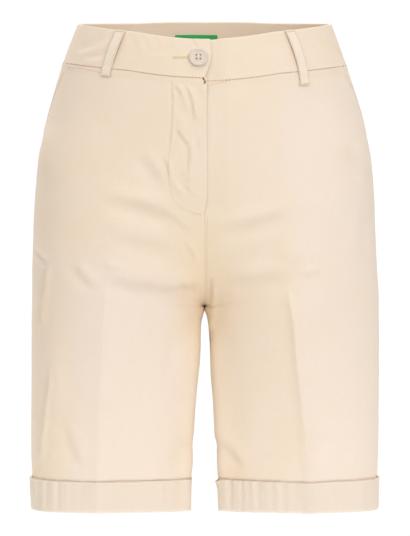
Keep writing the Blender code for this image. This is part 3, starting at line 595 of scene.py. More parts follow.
def shell(name, side, girth, row, material, outer=0.0, thick=1.2, roll=0.9, middle=0, butts="", rubbed=""):
    # a wall of cloth over a grid of places; its edges are rounded, but those
    # that butt against a seam. Edges: first and last column, low and high row.
    # Returns the object and the grid of its outside, for what is sewn on it
    girth, row = np.broadcast_arrays(girth, row)
    point, outward = clothPoint(side, girth, row)
    u, v = lengthAlong(point, 1), lengthAlong(point, 0)
    edges = {"first": u, "last": u[:, -1:] - u, "low": v, "high": v[-1:] - v}
    toEdge = np.minimum.reduce(list(edges.values()))
    turned = np.minimum.reduce([away for edge, away in edges.items() if edge not in butts])
    bend = np.clip(1 - turned / roll, 0, 1)
    rounding = 1 - np.sqrt(np.clip(1 - bend ** 2, 0, 1))
    outside = point + outward * (outer - 0.5 * thick * rounding)[..., None]
    inside = point + outward * (outer - thick + 0.5 * thick * rounding)[..., None]
    rows, columns = girth.shape
    under = rows * columns
    rim = list(range(columns))
    rim += [r * columns + columns - 1 for r in range(1, rows)]
    rim += [(rows - 1) * columns + c for c in range(columns - 2, -1, -1)]
    rim += [r * columns for r in range(rows - 2, 0, -1)]
    rim = np.array(rim)
    ahead = np.roll(rim, -1)
    band = np.stack([ahead, rim, under + rim, under + ahead], -1)
    faces = np.concatenate([
        gridFaces(rows, columns, 0, side > 0), gridFaces(rows, columns, under, side < 0),
        band[:, ::-1] if side > 0 else band,
    ])
    mapping = np.stack([u - u[:, middle:middle + 1], v], -1).reshape(-1, 2)
    # paler edges: a little wear on every edge; the edges passed in, the pocket mouths, get a painted
    # highlight as well
    wear = 0.11 * np.exp(-toEdge / 1.6)
    for edge in edges:
        if edge in rubbed:
            wear = np.maximum(wear, np.exp(-edges[edge] / 1.4))
    # painted shade and light in the tint: deeper round the fork, less on the lit planes
    dye = dyeDepth(side, girth, row, point)
    item = makeObject(
        name, np.concatenate([outside.reshape(-1, 3), inside.reshape(-1, 3)]), faces.tolist(), material,
        np.tile(mapping, (2, 1)), 60.0, wear=np.tile(wear.ravel(), 2), dye=np.tile(dye.ravel(), 2),
    )
    return item, {"place": outside, "out": outward, "u": u, "v": v}


def readAlong(values, along, at):
    # values known at some lengths along a line, read at others
    return np.stack([np.interp(at, along, column) for column in np.transpose(values)], -1)


def sharesWithEdges(count, first=(0.0, 0.07, 0.18, 0.36, 0.62)):
    # even shares from 0 to 1, with finer ones in the first and last step
    first = np.array(first) / count
    return np.concatenate([first, np.arange(1, count) / count, 1 - first[::-1]])


def spread(ends, count):
    # places from one end to the other, finer at both edges
    return np.interp(sharesWithEdges(count), (0.0, 1.0), ends)


def rowStations(low, high, step=2.3):
    stations = []
    for number in range(low, high):
        rise = levels[number + 1, 0] - levels[number, 0]
        steps = max(2, round(rise / step))
        stations += [number + k / steps for k in range(steps)]
    if low == 0:
        stations += [0.97, 1.015, 1.03, 1.045, 1.09]     # finer where the turn-up ends
    stations = np.sort(np.array(stations + [float(high)]))
    tight = np.array([0.0, 0.08, 0.2, 0.4, 0.7])
    head = stations[0] + tight * (stations[1] - stations[0])
    tail = stations[-1] - tight[::-1] * (stations[-1] - stations[-2])
    return np.concatenate([head, stations[1:-1], tail])


def readGrid(grid, i, j):
    # reads a grid between its rows and columns
    rows, columns = grid.shape[:2]
    i, j = np.clip(i, 0, rows - 1.001), np.clip(j, 0, columns - 1.001)
    r, c = i.astype(int), j.astype(int)
    s, t = (i - r)[..., None], (j - c)[..., None]
    low = grid[r, c] * (1 - t) + grid[r, c + 1] * t
    high = grid[r + 1, c] * (1 - t) + grid[r + 1, c + 1] * t
    return low * (1 - s) + high * s


def placeOn(panel, line, step=0.4):
    # points and normals of a panel under a line of (x, z) seen from the front
    line = smoothLine(line, 12 * len(line))
    along = lengthAlong(line[None], 1)[0]
    count = max(2, int(along[-1] / step))
    want = readAlong(line, along, np.linspace(0, along[-1], count))
    flat = panel["place"][..., [0, 2]]
    rows, columns = flat.shape[:2]
    away = ((flat[None] - want[:, None, None]) ** 2).sum(-1).reshape(count, -1)
    i, j = np.divmod(away.argmin(axis=1), columns)
    i, j = i.astype(float), j.astype(float)
    for _ in range(12):
        here = readGrid(flat, i, j)
        down = readGrid(flat, i + 0.3, j) - readGrid(flat, i - 0.3, j)
        across = readGrid(flat, i, j + 0.3) - readGrid(flat, i, j - 0.3)
        need = want - here
        cross = down[:, 0] * across[:, 1] - down[:, 1] * across[:, 0]
        cross = np.where(np.abs(cross) < 1e-6, 1e-6, cross)
        i = i + np.clip(0.6 * (need[:, 0] * across[:, 1] - need[:, 1] * across[:, 0]) / cross, -1, 1)
        j = j + np.clip(0.6 * (down[:, 0] * need[:, 1] - down[:, 1] * need[:, 0]) / cross, -1, 1)
        i, j = np.clip(i, 0, rows - 1.001), np.clip(j, 0, columns - 1.001)
    return readGrid(panel["place"], i, j), unit(readGrid(panel["out"], i, j))


def besideEdge(panel, distance, lowRow=0, highRow=None, lastEdge=False):
    # points and normals of a panel at one distance from its first or last column
    place, outward = panel["place"][lowRow:highRow], panel["out"][lowRow:highRow]
    points, normals = [], []
    for line, normal, u in zip(place, outward, panel["u"][lowRow:highRow]):
        at = u[-1] - distance if lastEdge else distance
        points.append(readAlong(line, u, at))
        normals.append(readAlong(normal, u, at))
    return np.array(points), np.array(normals)


def toLinear(hexColour):
    # sRGB hex to linear, with alpha 1
    values = [int(hexColour[k:k + 2], 16) / 255 for k in (1, 3, 5)]
    return tuple(c / 12.92 if c <= 0.04045 else ((c + 0.055) / 1.055) ** 2.4 for c in values) + (1.0,)


def addNode(tree, kind, settings, links=()):
    # settings: attributes, or inputs by name or number; links: (input, socket)
    node = tree.nodes.new(kind)
    for key, value in settings.items():
        if isinstance(key, str) and hasattr(node, key):
            setattr(node, key, value)
        else:
            node.inputs[key].default_value = value
    for key, socket in links:
        tree.links.new(socket, node.inputs[key])
    return node


def newMaterial(name):
    material = bpy.data.materials.new(name)
    material.use_nodes = True
    tree = material.node_tree
    tree.nodes.clear()
    output = addNode(tree, "ShaderNodeOutputMaterial", {})
    shader = addNode(tree, "ShaderNodeBsdfPrincipled", {})
    tree.links.new(shader.outputs["BSDF"], output.inputs["Surface"])
    return material, tree, shader


twillLook = {
    # worn: pale colour for rubbed edges and for the painted highlight on the pocket mouths
    "light": "#F1E2D6", "dark": "#E5D3C0", "worn": "#F8EFE5",
    "deep": "#FFFBEC",       # yellow tint multiplied in: painted warm shade round the fork, less of it on the lit planes
    "wale": 0.9,         # mm from rib to rib, twice the real one, so that it shows close up
    "lean": 63.0,        # degrees, a steep right-hand twill
    "slub": 9.0,         # mm, length of thick places in the yarn
    "roughness": 0.84, "sheen": 0.12,
}


def addNoise(tree, cell, detail, roughness, place):
    settings = {"Scale": 1.0 / (cell * millimetre), "Detail": detail, "Roughness": roughness}
    return addNode(tree, "ShaderNodeTexNoise", settings, [("Vector", place)]).outputs["Fac"]


def mixColours(tree, share, first, second, blend="MIX"):
    # first is a hex colour or a socket, second a hex colour
    settings = {"data_type": "RGBA", "blend_type": blend, "clamp_factor": True, 7: toLinear(second)}
    links = [(0, share)]
    if isinstance(first, str):
        settings[6] = toLinear(first)
    else:
        links.append((6, first))
    return addNode(tree, "ShaderNodeMix", settings, links).outputs[2]


def finishLook(tree, shader, colour, rough, layers, values):
    # rough: source, lowest and highest roughness; layers of relief: source, strength, mm
    source, low, high = rough
    tree.links.new(colour, shader.inputs["Base Color"])
    spans = addNode(tree, "ShaderNodeMapRange", {"To Min": low, "To Max": high}, [("Value", source)])
    tree.links.new(spans.outputs["Result"], shader.inputs["Roughness"])
    relief = None
    for source, strength, depth in layers:
        links = [("Height", source)] + ([("Normal", relief)] if relief else [])
        settings = {"Strength": strength, "Distance": depth * millimetre}
        relief = addNode(tree, "ShaderNodeBump", settings, links).outputs["Normal"]
    tree.links.new(relief, shader.inputs["Normal"])
    for key, value in values.items():
        shader.inputs[key].default_value = value


def makeTwill(name, look):
    # cotton twill, piece dyed and washed: matt, with a fine diagonal rib that
    # breaks the light softly, thick places in the yarn, a painted warm shade
    # round the fork and painted light on the legs' flat planes, and paler where
    # folded edges have rubbed, with a painted highlight on the pocket mouths
    material, tree, shader = newMaterial(name)
    flat = addNode(tree, "ShaderNodeUVMap", {"uv_map": "cloth"}).outputs["UV"]
    place = addNode(tree, "ShaderNodeTexCoord", {}).outputs["Object"]
    lean = (0.0, 0.0, math.radians(90 - look["lean"]))
    turned = addNode(tree, "ShaderNodeMapping", {"Rotation": lean}, [("Vector", flat)])
    # a wave of scale 1 is 0.314 long
    rib = addNode(
        tree, "ShaderNodeTexWave",
        {"bands_direction": "X", "Scale": 0.314 / (look["wale"] * millimetre),
         "Distortion": 1.0, "Detail": 1.0, "Detail Scale": 0.6},
        [("Vector", turned.outputs["Vector"])],
    ).outputs["Fac"]
    # thick places of the warp and of the weft
    yarns = []
    for stretch, cell in (((1.0, 0.07, 1.0), 0.12), ((0.07, 1.0, 1.0), 0.10)):
        run = addNode(tree, "ShaderNodeMapping", {"Scale": stretch}, [("Vector", flat)])
        yarns.append(addNoise(tree, cell * look["slub"], 2.0, 0.6, run.outputs["Vector"]))
    slub, pick = yarns
    cloud = addNoise(tree, 50.0, 2.0, 0.5, place)
    total = None
    for source, share in ((rib, 0.22), (slub, 0.42), (pick, 0.42), (cloud, 0.20)):
        settings, links = {"operation": "MULTIPLY_ADD", 1: share}, [(0, source)]
        if total:
            links.append((2, total))
        else:
            settings[2] = -0.13
        total = addNode(tree, "ShaderNodeMath", settings, links).outputs["Value"]
    colour = mixColours(tree, total, look["light"], look["dark"])
    # painted shade and light: a yellow tint multiplied in, deepest round the fork, least on the lit planes
    dye = addNode(tree, "ShaderNodeAttribute", {"attribute_name": "dye"}).outputs["Fac"]
    colour = mixColours(tree, dye, colour, look["deep"], "MULTIPLY")
    # rubbed edges are paler, and the pocket mouths carry a painted highlight
    wear = addNode(tree, "ShaderNodeAttribute", {"attribute_name": "wear"}).outputs["Fac"]
    rubbed = addNode(tree, "ShaderNodeMath", {"operation": "MULTIPLY", 1: 0.75}, [(0, wear)])
    colour = mixColours(tree, rubbed.outputs["Value"], colour, look["worn"])
    finishLook(
        tree, shader, colour, (slub, look["roughness"] - 0.06, look["roughness"] + 0.06),
        ((rib, 0.35, 0.08), (slub, 0.45, 0.10), (pick, 0.35, 0.10)),
        {"Sheen Weight": look["sheen"], "Sheen Roughness": 0.5, "Specular IOR Level": 0.25},
    )
    return material


def makePlain(name, light, dark, roughness, cell, bump, sheen=0.0, metallic=0.0, coat=0.0):
    material, tree, shader = newMaterial(name)
    place = addNode(tree, "ShaderNodeTexCoord", {}).outputs["Object"]
    grain = addNoise(tree, cell, 3.0, 0.5, place)
    finishLook(
        tree, shader, mixColours(tree, grain, light, dark), (grain, roughness - 0.05, roughness + 0.08),
        ((grain, 0.5, bump),), {"Sheen Weight": sheen, "Metallic": metallic, "Coat Weight": coat},
    )
    return material


twill = makeTwill("cottonTwillWashed", twillLook)
# the loops are turned from narrow strips and rub first, so they are a little paler
paleTwill = makeTwill("cottonTwillRubbed", {**twillLook, "light": "#F2E4D4", "dark": "#E7D6C2"})
# the turn-ups show the underside of the twill, its ribs leaning the other way, and are painted darker as
# painted shade on the lower legs
turnedTwill = makeTwill("cottonTwillTurned", {
    **twillLook, "light": "#EADCCD", "dark": "#DECDB9", "lean": -63.0,
})
pocketing = makeTwill("cottonPocketingPlain", {
    **twillLook, "light": "#EFE4D2", "dark": "#DDCBB0", "lean": 90.0, "slub": 6.0,
})
# spun polyester thread: a soft gleam, darker than the cloth it draws in
thread = makePlain("polyesterThreadSpun", "#E9D2B4", "#DABF99", 0.55, 0.5, 0.05, sheen=0.2)
# the stitches in the seam under the waistband and along the loops' edges are browner than the cloth
ditchThread = makePlain("polyesterThreadBrown", "#D6B080", "#C49A68", 0.60, 0.5, 0.05, sheen=0.1)
# painted shadow: dark bars where the gap at the top of the fly lies in shade
darkThread = makePlain("polyesterThreadDark", "#6B4C37", "#573C2B", 0.60, 0.5, 0.05, sheen=0.1)
# the buttonhole is worked in a thread a little more yellow
holeThread = makePlain("polyesterThreadYellow", "#FAEBCB", "#F0D9AC", 0.55, 0.5, 0.05, sheen=0.2)
# cast polyester resin, turned and tumbled: cloudy grey-beige with a satin gleam
resin = makePlain("polyesterResinTurned", "#E3D6C8", "#CFC0B0", 0.36, 3.0, 0.01, coat=0.15)
# woven polyester satin ribbon: long floats, so it gleams along the weft
satin = makePlain("polyesterSatinWoven", "#2CB463", "#1E9A50", 0.42, 0.8, 0.04, sheen=0.1)
# woven polyester zip tape, matt and ribbed
tape = makePlain("polyesterTapeWoven", "#DCC6A4", "#C9B08B", 0.72, 0.7, 0.06, sheen=0.1)
# lacquered brass, die cast and tumbled
brass = makePlain("brassLacquered", "#CDB98C", "#B8A274", 0.32, 1.2, 0.01, metallic=1.0)
print("materials made")


def sideSeam(row):
    return cut["seamLow"] + (cut["seamHigh"] - cut["seamLow"]) * np.clip(row / hipRow, 0.0, 1.0)


def pocketMouth(row):
    climb = np.clip((row - hipRow) / (waistRow - hipRow), 0.0, 1.0)
    return sideSeam(row) + (cut["mouthTop"] - cut["seamHigh"]) * climb ** cut["mouthBend"]


def dress(node):
    # a cut piece of cloth stands for its solid
    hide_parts(node)


panels = {}
panelLook = {
    "outerColumns": 52, "innerColumns": 50,
    "lip": 0.7, "lipWide": 3.5,          # mm, the pocket mouth's edge stands off
    "cuffDip": 1.1,                      # mm, the leg is drawn in where the turn-up ends
    "dipAt": (1.01, 0.046875),           # row, and width in rows
    # girth and row where the left front sinks under the fly, and over how much it does
    "sink": (0.84, 0.11, 9.72, 0.4),
}


def panelGirth(start, end, crest):
    # columns from the outer edge over the crest to the inner edge
    outer = sharesWithEdges(panelLook["outerColumns"])[:-3]
    inner = np.concatenate([[0.0], sharesWithEdges(panelLook["innerColumns"])[3:]])
    girth = np.concatenate([start + (crest - start) * outer, crest + (end - crest) * inner], axis=1)
    return girth, len(outer)


for side, word in sides:
    row = rowStations(0, waistRow)[:, None]
    end = np.ones_like(row)
    if side == right:
        end = end + cut["flyLap"] * ease((row - cut["flyRow"]) / 0.4)
    girth, middle = panelGirth(pocketMouth(row), end, creasePart(side, row))
    tuckedIn = -panelLook["cuffDip"] * bell(row, *panelLook["dipAt"])
    lip = np.exp(-(girth - girth[:, :1]) * girthLong / panelLook["lipWide"])
    outer = panelLook["lip"] * lip * ease((row - hipRow - 0.4) / 1.2) + tuckedIn
    if side == left:
        at, over, low, height = panelLook["sink"]
        outer = outer - cut["flySink"] * ease((girth - at) / over) * ease((row - low) / height)
    # the pocket mouth's folded edge, the first column, carries a painted highlight besides wear
    item, panels["front" + word] = shell(
        "front" + word, side, girth, row, twill, outer, middle=middle, butts="high", rubbed="first"
    )
    dress("front_" + word.lower())

    girth, middle = panelGirth(sideSeam(row), -np.ones_like(row), -0.5)
    item, panels["back" + word] = shell(
        "back" + word, side, girth, row, twill, tuckedIn, middle=middle, butts="high"
    )
    dress("back_" + word.lower())
print("fronts and backs made")

pocketLook = {
    "under": cut["cloth"] + cut["layerGap"], "bagThick": 1.6,     # mm
    "bagLow": 7.9, "bagCorner": 1.1,     # rows
    "runOn": 0.015,      # girth that the facing's low end runs on under the back
    "swell": 0.45,       # mm, the facing swells between seam and mouth, then sinks under the front
}

for side, word in sides:
    under = pocketLook["under"]
    row = rowStations(hipRow - 1, waistRow, 3.0)[:, None]
    row = row[row[:, 0] > hipRow - 0.25]
    # where the mouth ends the facing runs on below it, under both edges
    ended = 1 - ease((row - hipRow - 0.3) / 0.3)
    mouth, seam = pocketMouth(row), sideSeam(row)
    start = seam - pocketLook["runOn"] * ended
    shown = start + (mouth - start) * sharesWithEdges(12)
    hidden = mouth + 0.3 * (0.5 - mouth) * np.linspace(0, 1, 12)[1:]
    girth = np.concatenate([shown, hidden], axis=1)
    lift = under + pocketLook["swell"] * ease((girth - seam) / 0.04)
    lift = lift * ease((mouth - girth + 0.035) / 0.07) * (1 - ended)
    item, _ = shell("pocketFacing" + word, side, girth, row, twill, lift - under)
    dress("pocket_facing_" + word.lower())

    column = np.linspace(0, 1, 24)
    low = pocketLook["bagLow"] + pocketLook["bagCorner"] * (1.0 - np.sin(math.pi * (0.06 + 0.88 * column)))
    rows = low + (waistRow - low) * np.linspace(0, 1, 60)[:, None]
    start = pocketMouth(rows)
    girth = start + (0.5 - start) * column
    item, _ = shell(
        "pocketBag" + word, side, girth, rows, pocketing, -2 * under, pocketLook["bagThick"]
    )
    dress("pocket_bag_" + word.lower())
print("pockets made")

bandLook = {
    "columns": 150, "rows": 22, "roll": 1.2,
    # share of the band's height, girth that its right end reaches past the centre
    "overlap": ((0.0, 0.35, 0.55, 1.0), (0.0, 0.033, 0.045, 0.037)),
    "underlap": 0.25, "sinkAt": 0.84, "sinkOver": 0.115,     # girth, the left end sinks under the right one
}

for side, word in sides:
    share = sharesWithEdges(bandLook["rows"])[:, None]
    end, outer = 1.0 + bandLook["underlap"], cut["bandProud"]
    if side == right:
        heights, past = bandLook["overlap"]
        steps = np.interp(share[:, 0], heights, range(len(heights)))
        end = 1.0 + throughRows(np.array(past)[:, None], steps)
    girth = -1.0 + (end + 1.0) * sharesWithEdges(bandLook["columns"])
    if side == left:
        under = ease((girth - bandLook["sinkAt"]) / bandLook["sinkOver"])
        outer = outer - (cut["band"] + cut["layerGap"]) * under
    item, panels["band" + word] = shell(
        "waistband" + word, side, girth, waistRow + share, twill, outer, cut["band"], bandLook["roll"],
        butts="low first",
    )
    dress("waistband_" + word.lower())
print("waistband made")

cuffLook = {
    "gap": 0.2, "thick": 1.5, "lip": 1.1, "ripple": 1.9, "wave": 0.4,     # mm
    "notch": 2.0, "notchAt": (0.93, 0.022),      # mm, girth and width of the gape of the left top edge
}


def makeCuff(side, word):
    # ring of cloth turned up outside the hem, with a folded lower edge
    start = float(sideSeam(0.0))
    front = start + (1.0 - start) * np.linspace(0, 1, 170)
    back = start + (-1.0 - start) * np.linspace(0, 1, 170)
    girth = np.concatenate([front, back[-2:0:-1]])
    inner, outer = cuffLook["gap"], cuffLook["gap"] + cuffLook["thick"]
    low = -0.3 - cuffLook["lip"]
    # row, distance out of the cloth, drop below the row
    section = [(0.988, inner, 0.0), (1.0, inner + 0.25, 0.1), (1.0, outer - 0.3, 0.1), (0.985, outer, 0.0)]
    section += [(r, outer, 0.0) for r in np.linspace(0.95, 0.05, 16)]
    section += [(0.0, outer, low + 0.8), (0.0, outer - 0.25, low + 0.2), (0.0, outer - 0.8, low)]
    section += [(0.0, -0.5, low), (0.0, -1.0, low + 0.2), (0.0, -1.2, low + 0.5), (0.0, -1.2, -0.3)]
    section += [(0.0, inner, -0.3)] + [(r, inner, 0.0) for r in np.linspace(0.1, 0.9, 8)]
    around = girth * girthLong
    part = np.abs(girth)
    # the ripples crowd at both seams of the right leg, and over the inner half of the left one
    if side == right:
        busy = 0.3 + 0.7 * (ease((part - 0.84) / 0.08) + 1 - ease((part - 0.3) / 0.12))
    else:
        busy = 0.25 + 0.85 * ease((part - 0.44) / 0.1)
    ripple = softNoise(around, 0 * around, 5.5, 41 + side) * busy
    ripple += 0.5 * softNoise(around, 0 * around, 15.0, 47 + side)
    wave = cuffLook["wave"] * softNoise(around, 0 * around, 26.0, 53 + side)
    gape = cuffLook["notch"] * bell(girth, *cuffLook["notchAt"]) * (side == left)
    rings = []
    for r, out, drop in section:
        point, outward = clothPoint(side, girth, r)
        move = out + gape * ease((r - 0.6) / 0.4)
        if out > inner + 0.2 and r > 0:
            move = move + cuffLook["ripple"] * ripple * (0.45 + 0.55 * r)
        ring = point + outward * move[:, None]
        ring[:, 2] += drop + (wave - 0.7 * gape) * (r > 0.9)
        rings.append(ring)
    rings = np.array(rings)
    count, size = rings.shape[:2]
    u = np.broadcast_to(lengthAlong(rings[6][None], 1), (count, size))
    mapping = np.stack([u, lengthAlong(rings, 0)], -1).reshape(-1, 2)
    # rings 20 to 23 are the folded lower edge, which has rubbed
    wear = np.repeat([0.6 if 20 <= s <= 23 else 0.0 for s in range(count)], size)
    # the turn-up's darker twill is painted shade
    item = makeObject(
        "turnUp" + word, rings.reshape(-1, 3), ringFaces(count, size, True, side < 0), turnedTwill,
        mapping, wear=wear,
    )
    dress("turn_up_" + word.lower())


for side, word in sides:
    makeCuff(side, word)
print("turn-ups made")

shieldLook = {"girth": (0.975, 1.25), "depth": 5.15}
zipLook = {
    "girth": (1.0, 1.15), "row": 10.3, "depth": 3.75, "tape": 1.0,
    "pitch": 1.6, "tooth": 1.5, "toothThick": 0.75,
}


def makeFlyParts():
    # shield and zip tape lie behind the left front, one behind the other
    row = rowStations(9, waistRow, 3.0)
    row = np.concatenate([[cut["flyRow"]], row[row > cut["flyRow"] + 0.02]])[:, None]
    item, _ = shell("flyShield", left, spread(shieldLook["girth"], 14), row, twill, -shieldLook["depth"])
    dress("fly_shield")

    row = np.linspace(zipLook["row"], waistRow, 90)[:, None]
    girth = spread(zipLook["girth"], 10)
    item, panel = shell("zipTape", left, girth, row, tape, -zipLook["depth"], zipLook["tape"], 0.4)
    dress("fly_zip")
    return besideEdge(panel, 0.5 * panel["u"][0, -1])


zipPlace, zipOut = makeFlyParts()


def capsules(name, centres, ways, outs, size, material, bow=0.0):
    # one rounded bar at each centre, lying along its way; size: length, width
    # and height; bow lifts its middle
    length, wide, high = size
    centres, ways = np.asarray(centres), unit(np.array(ways, float))
    across = unit(np.cross(ways, outs))
    outs = np.cross(across, ways)
    stations = np.array([-1.0, -0.9, -0.55, 0.0, 0.55, 0.9, 1.0])
    swell = np.array([0.35, 0.72, 0.96, 1.0, 0.96, 0.72, 0.35])
    count = 6        # sides of a bar
    turns = [2 * math.pi * number / count for number in range(count)]
    points, faces = [], []
    for centre, way, sideways, out in zip(centres, ways, across, outs):
        faces += barFaces(len(stations), count, len(points))
        for at, wider in zip(stations, swell):
            middle = centre + way * at * 0.5 * length + out * bow * (1 - at * at)
            wideways, upwards = sideways * 0.5 * wide * wider, out * 0.5 * high * wider
            points += [middle + wideways * math.cos(turn) + upwards * math.sin(turn) for turn in turns]
    makeObject(name, points, faces, material)


# mm: a stitch's length, width and height, the gap to the next, how far it lies above the cloth
stitchLook = {"size": (2.5, 0.55, 0.42), "gap": 0.7, "lift": 0.10, "bow": 0.12}
ditchLook = {"size": (2.5, 0.7, 0.6), "gap": 0.9, "lift": 0.12, "bow": 0.0}
loopEdge = {"size": (2.2, 0.5, 0.3), "gap": 0.5, "lift": 0.0, "bow": 0.0}


def stitchRow(name, place, outward, material=thread, look=stitchLook):
    # a seam's stitches along a line of points on the cloth
    along = lengthAlong(place[None], 1)[0]
    count = int(along[-1] / (look["size"][0] + look["gap"]))
    at = (np.arange(count) + 0.5) * along[-1] / count
    reach = 0.6      # mm, a stitch lies as the line runs just before and after it
    ways = readAlong(place, along, at + reach) - readAlong(place, along, at - reach)
    outs = readAlong(outward, along, at)
    centres = readAlong(place, along, at) + outs * look["lift"]
    capsules(name, centres, ways, outs, look["size"], material, bow=look["bow"])


flyLine = [
    (-32.1, -45), (-31.3, -60), (-31.6, -78), (-32.6, -100), (-35.0, -122), (-35.2, -137),
    (-33.3, -151), (-28.2, -164), (-20.3, -170.6), (-9.5, -174.5), (-2.6, -176.2),
]
stitchRow("stitchFly", *placeOn(panels["frontRight"], flyLine))
for side, word in sides:
    front = panels["front" + word]
    first = int(np.argmin(np.abs(front["place"][:, 0, 2] + 152)))     # where the mouth's stitches begin
    stitchRow("stitchMouth" + word, *besideEdge(front, 2.2, first, -8))
    girth = np.linspace(-1.0, 1.0 if side == right else 0.985, 900)
    stitchRow("stitchWaist" + word, *clothPoint(side, girth, 12.988), ditchThread, ditchLook)
    stitchRow("stitchRise" + word, *besideEdge(panels["back" + word], 2.0, 60, -5, True))
# painted shadow in the gap where the waistband meets the fly
knotPlaces = placeOn(panels["frontRight"], [(-0.9, -43.6), (0.2, -46.6)])
knot, knotOut = (values[[0, -1]] for values in knotPlaces)
knotWays = [(0.5, 0.0, -1.0), (-0.3, 0.0, -1.0)]
capsules("flyKnot", knot + knotOut * 0.5, knotWays, knotOut, (3.2, 1.3, 1.0), darkThread)
for name, panel, line in (
    ("stitchAllowanceRight", "frontRight", [(-138.0, -26.2), (-121, -29.2), (-100.7, -35)]),
    ("stitchAllowanceLeft", "frontLeft", [(2.4, -50.0), (13, -47.3), (25.8, -44.4)]),
    ("stitchCentre", "frontLeft", [(2.6, -178), (2.6, -200), (2.4, -225), (2.4, -252)]),
):
    stitchRow(name, *placeOn(panels[panel], line))
print("stitches sewn")

loopLook = {"width": 11.2, "thick": 1.5, "tackLong": 13.5, "tackWide": 1.5, "tacks": 22}
loopWay = np.array([
    # row, height over the cloth, shift towards the front in mm
    (12.80, 0.35, -2.6), (12.97, 0.60, -1.6), (13.06, 1.0, -1.1), (13.22, 1.7, -0.2), (13.5, 2.1, 1.6),
    (13.78, 1.7, 3.4), (13.93, 1.05, 4.4), (13.99, 0.90, 4.8),
])
loops = [
    # name, node, side, girth, how far it leans, how far it bows out, how much
    # further down it reaches in rows, length of the strip in metres
    ("beltLoopFrontRight", "belt_loop_front_right", right, 0.415, 1.0, 0.0, 0.0, 0.062),
    ("beltLoopFrontLeft", "belt_loop_front_left", left, 0.415, 0.9, -1.6, 0.15, 0.068),
    ("beltLoopBackRight", "belt_loop_back_right", right, -0.40, -0.5, 1.0, 0.0, 0.062),
    ("beltLoopBackLeft", "belt_loop_back_left", left, -0.40, -0.3, -0.8, 0.02, 0.062),
    ("beltLoopCentreBack", "belt_loop_centre_back", right, -1.0, 0.0, 0.5, 0.0, 0.062),
]


def soften(line, times=10):
    # a smoother line with the same ends
    for _ in range(times):
        line = np.concatenate([line[:1], 0.25 * line[:-2] + 0.5 * line[1:-1] + 0.25 * line[2:], line[-1:]])
    return line


def loopSection():
    # across the strip: place from the middle and height; its sides are turned in, so they stand thicker
    half, thick = 0.5 * loopLook["width"], loopLook["thick"]
    radius = 0.5 * thick
    section = []
    for middle, start, flat, height in (
        (half - radius, -90, (0.55, 0.25, -0.25, -0.55), 0.92), (radius - half, 90, (-0.5, 0.0, 0.5), 0.06),
    ):
        turns = np.radians(np.linspace(start, start + 180, 7))
        section += [(middle + radius * math.cos(turn), radius + radius * math.sin(turn)) for turn in turns]
        section += [(place * half, height * thick) for place in flat]
    return section


def makeLoop(name, node, side, girth, lean, bow, deeper, length):
    half, thick = 0.5 * loopLook["width"], loopLook["thick"]
    section = loopSection()
    way = throughRows(loopWay, np.linspace(0, len(loopWay) - 1, 64))
    rings, edgeLines = [], [[], []]
    seed = 60 + len(name) + side
    rowsOver = way[:, 0] - deeper * ease((13.3 - way[:, 0]) / 0.45)
    base, _ = clothPoint(side, girth, rowsOver)
    alongs, _, edgeOuts = facing(side, girth, rowsOver)
    base = soften(base + edgeOuts * way[:, 1:2])
    shares = np.linspace(0, 1, len(way))
    for share, shift, point, along, outward in zip(shares, way[:, 2], base, alongs, edgeOuts):
        moved = shift * lean + bow * math.sin(math.pi * share)
        end = min(1.0, min(share, 1 - share) / 0.02)      # both ends are pressed flat
        uneven = 0.12 * float(softNoise(np.array(share * 50.0), np.array(0.0), 6.0, seed))
        rings.append([
            point + along * (across * (0.97 + 0.03 * end) + moved)
            + outward * ((rise - 0.5 * thick) * (0.55 + 0.45 * end) + 0.5 * thick + uneven)
            for across, rise in section
        ])
        for line, reach in zip(edgeLines, (0.65 - half, half - 0.65)):
            line.append(point + along * (reach + moved) + outward * (thick + uneven))
    rings = np.array(rings)
    count, size = rings.shape[:2]
    u = np.linspace(0, 2 * (loopLook["width"] + thick), size)
    v = lengthAlong(rings.mean(axis=1)[None], 1)[0]
    mapping = np.stack(np.broadcast_arrays(u[None, :], v[:, None]), -1).reshape(-1, 2)
    edge = 0.3 * np.exp(-(half - np.abs(np.array(section)[:, 0])) / 0.8)
    item = makeObject(
        name, rings.reshape(-1, 3), barFaces(count, size, flip=side > 0), paleTwill, mapping, 60.0,
        wear=np.tile(edge, count),
    )
    dress(node)
    for end, line in zip(("Ahead", "Behind"), edgeLines):
        stitchRow(name + "Edge" + end, np.array(line)[2:-2], edgeOuts[2:-2], ditchThread, loopEdge)
    # dense zigzag bars hold both ends: row, height, shift and share of the length
    for end, row, height, shift, wide in (
        ("Low", 12.83 - deeper, 0.35 + thick, -2.4, 1.0), ("High", 13.95, 0.95 + thick, 4.5, 0.8),
    ):
        point, _ = clothPoint(side, girth, row)
        along, upward, outward = facing(side, girth, row)
        places = np.linspace(-0.5, 0.5, loopLook["tacks"])[:, None] * wide * loopLook["tackLong"]
        heights = np.where(np.abs(places) < half - 0.3, height, 0.35)
        centres = point + along * (places + lean * shift) + outward * heights
        slants = upward + along * np.where(np.arange(len(places)) % 2, 0.35, -0.35)[:, None]
        outs = np.broadcast_to(outward, centres.shape)
        capsules(name + "Tack" + end, centres, slants, outs, (loopLook["tackWide"], 0.5, 0.4), thread)


for loop in loops:
    makeLoop(*loop)
print("belt loops made")

buttonLook = {
    "girth": 0.958, "row": 13.5, "hole": 0.95, "holesAt": 1.9, "sides": 72, "sharp": 35.0,
    # radius and height of the turned profile, from the back to the front
    "profile": [
        (5.0, 0.0), (7.2, 0.05), (8.2, 0.3), (8.9, 0.75), (9.2, 1.2), (9.28, 1.6), (9.2, 1.95),
        (8.95, 2.25), (8.5, 2.45), (8.0, 2.5), (7.5, 2.44), (7.0, 2.3), (6.6, 2.14), (6.3, 2.0),
        (6.0, 1.9), (5.6, 1.84), (4.0, 1.78),
    ],
}


